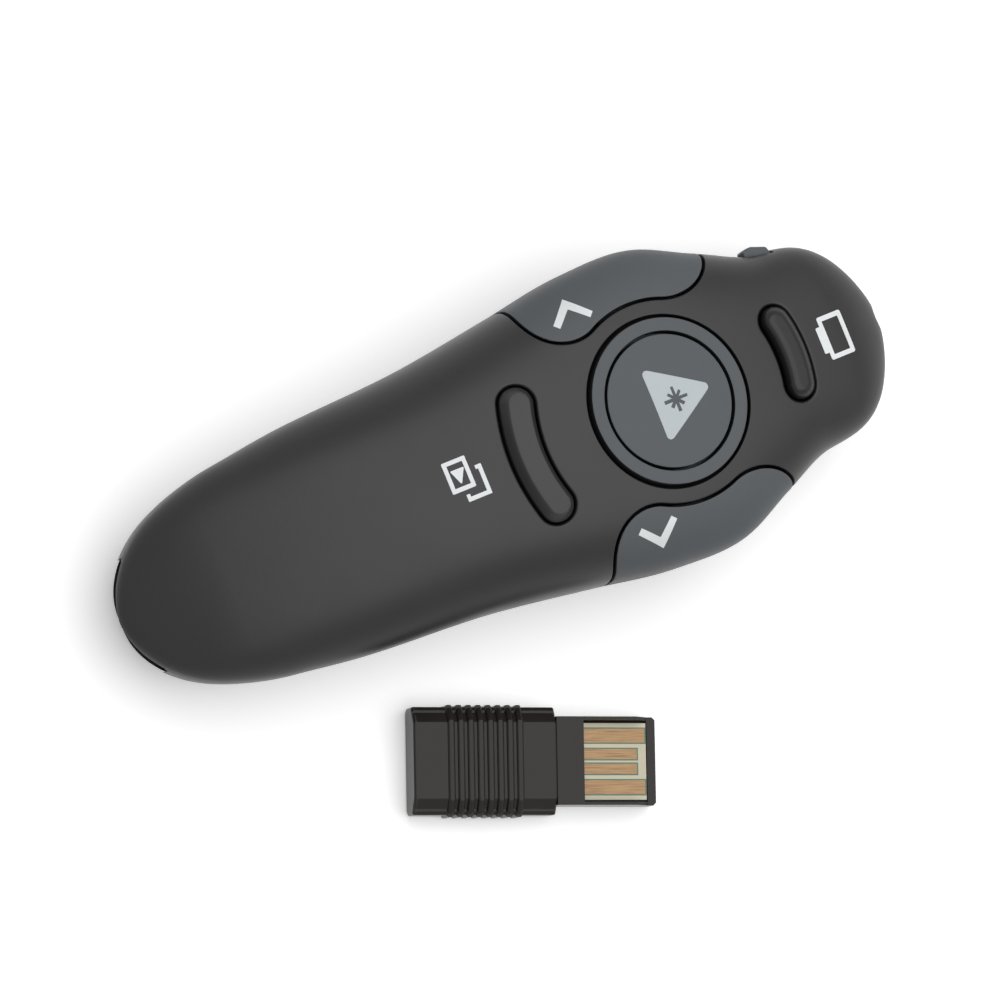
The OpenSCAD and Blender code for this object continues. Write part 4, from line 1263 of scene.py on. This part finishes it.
CELL_Y, CELL_Z = 5.4, 7.4
v, f = spring(3.4, 1.6, 2.2, 3, 0.25)
x, y, z = v.T
coils = [
    (cols(z - 41.4, y + CELL_Y, CELL_Z - x), f),
    (cols(5.6 - z, y - CELL_Y, CELL_Z + x), f),
]
add("contact_coils", coils, STEEL, "root", ["contact_springs"])

# ------ camera, floor and light
PX_PER_MM = 7.5
camera = bpy.data.cameras.new("camera")
camera.lens, camera.sensor_width, camera.clip_start = 243, 36, 0.01
eye = linked("camera", camera)
tilt, turn = np.radians(16.5), np.radians(22.2)
back = Vector((-np.sin(tilt), 0, np.cos(tilt)))
ahead, left = Vector((np.cos(tilt), 0, np.sin(tilt))), Vector((0, 1, 0))
right, up = ahead * np.cos(turn) - left * np.sin(turn), ahead * np.sin(turn) + left * np.cos(turn)
place = Vector((0, 0, 24.75)) + 900 * back - right * (170.4 / PX_PER_MM) - up * (99.7 / PX_PER_MM)
eye.matrix_world = Matrix.Translation(place * MM) @ Matrix((right, up, back)).transposed().to_4x4()
bpy.context.scene.camera = eye


def sees_backdrop(tree):
    """1 for the rays of the camera, gloss and glass, which see a white background."""
    path = tree.nodes.new("ShaderNodeLightPath").outputs
    seen = path["Is Camera Ray"]
    for kind in ("Is Glossy Ray", "Is Transmission Ray"):
        seen = shader(tree, "Math", seen, path[kind], operation="MAXIMUM")
    return seen


# The floor fades to white with distance, and nothing shows of it from below
WHITE, HALF_FLOOR, FLOOR_Z = (1, 1, 1, 1), 3, -5e-5  # metres
mat = bpy.data.materials.new("floor")
mat.use_nodes = True
tree = mat.node_tree
tree.nodes.clear()
where = shader(tree, "TexCoord", out="Object")
away = shader(tree, "VectorMath", where, operation="LENGTH", out="Value")
glow = shader(tree, "MapRange", Value=away, From_Min=0.12, From_Max=0.5, To_Min=0.27, To_Max=1)
pale = shader(tree, "AddShader", shader(tree, "BsdfDiffuse", WHITE), shader(tree, "Emission", Strength=glow))
plain = shader(tree, "BsdfDiffuse", (0.6, 0.6, 0.6, 1))
above = shader(tree, "MixShader", sees_backdrop(tree), plain, pale)
below = shader(tree, "BsdfTransparent")
sided = shader(tree, "MixShader", shader(tree, "NewGeometry", out="Backfacing"), above, below)
feed(tree, tree.nodes.new("ShaderNodeOutputMaterial"), {"Surface": sided})
me = bpy.data.meshes.new("floor")
corners = [(x * HALF_FLOOR, y * HALF_FLOOR, FLOOR_Z) for x, y in ((-1, -1), (1, -1), (1, 1), (-1, 1))]
me.from_pydata(corners, [], [(0, 1, 2, 3)])
me.materials.append(mat)
floor = linked("floor", me)
floor.visible_shadow = False

# The world is white to the camera, gloss and glass, and a dim fill that grows with height to the rest
world = bpy.data.worlds.new("world")
bpy.context.scene.world = world
world.use_nodes = True
tree = world.node_tree
height = shader(tree, "SeparateXYZ", shader(tree, "TexCoord", out="Generated"), out="Z")
fill = shader(tree, "MapRange", Value=height, From_Max=0.8, To_Min=0.02, To_Max=0.15)
feed(tree, tree.nodes["Background"], {"Color": WHITE, "Strength": fill})
sky, backdrop = tree.nodes["Background"].outputs[0], shader(tree, "Background", WHITE)
both = shader(tree, "MixShader", sees_backdrop(tree), sky, backdrop)
feed(tree, tree.nodes["World Output"], {"Surface": both})


def lamp(name, at, size, watts, to):
    light = bpy.data.lights.new(name, "AREA")
    light.shape, light.size, light.size_y, light.energy = "RECTANGLE", size[0] * MM, size[1] * MM, watts
    ob, at = linked(name, light), Vector(at) * MM
    ob.location = at
    ob.rotation_euler = (Vector(to) * MM - at).to_track_quat("-Z", "Y").to_euler()


lamp("overhead", (300, 60, 900), (1350, 1800), 14.3, (300, 60, 0))
lamp("below", (0, 0, -900), (900, 900), 8, (0, 0, 0))

bpy.context.scene.view_settings.view_transform = "Standard"
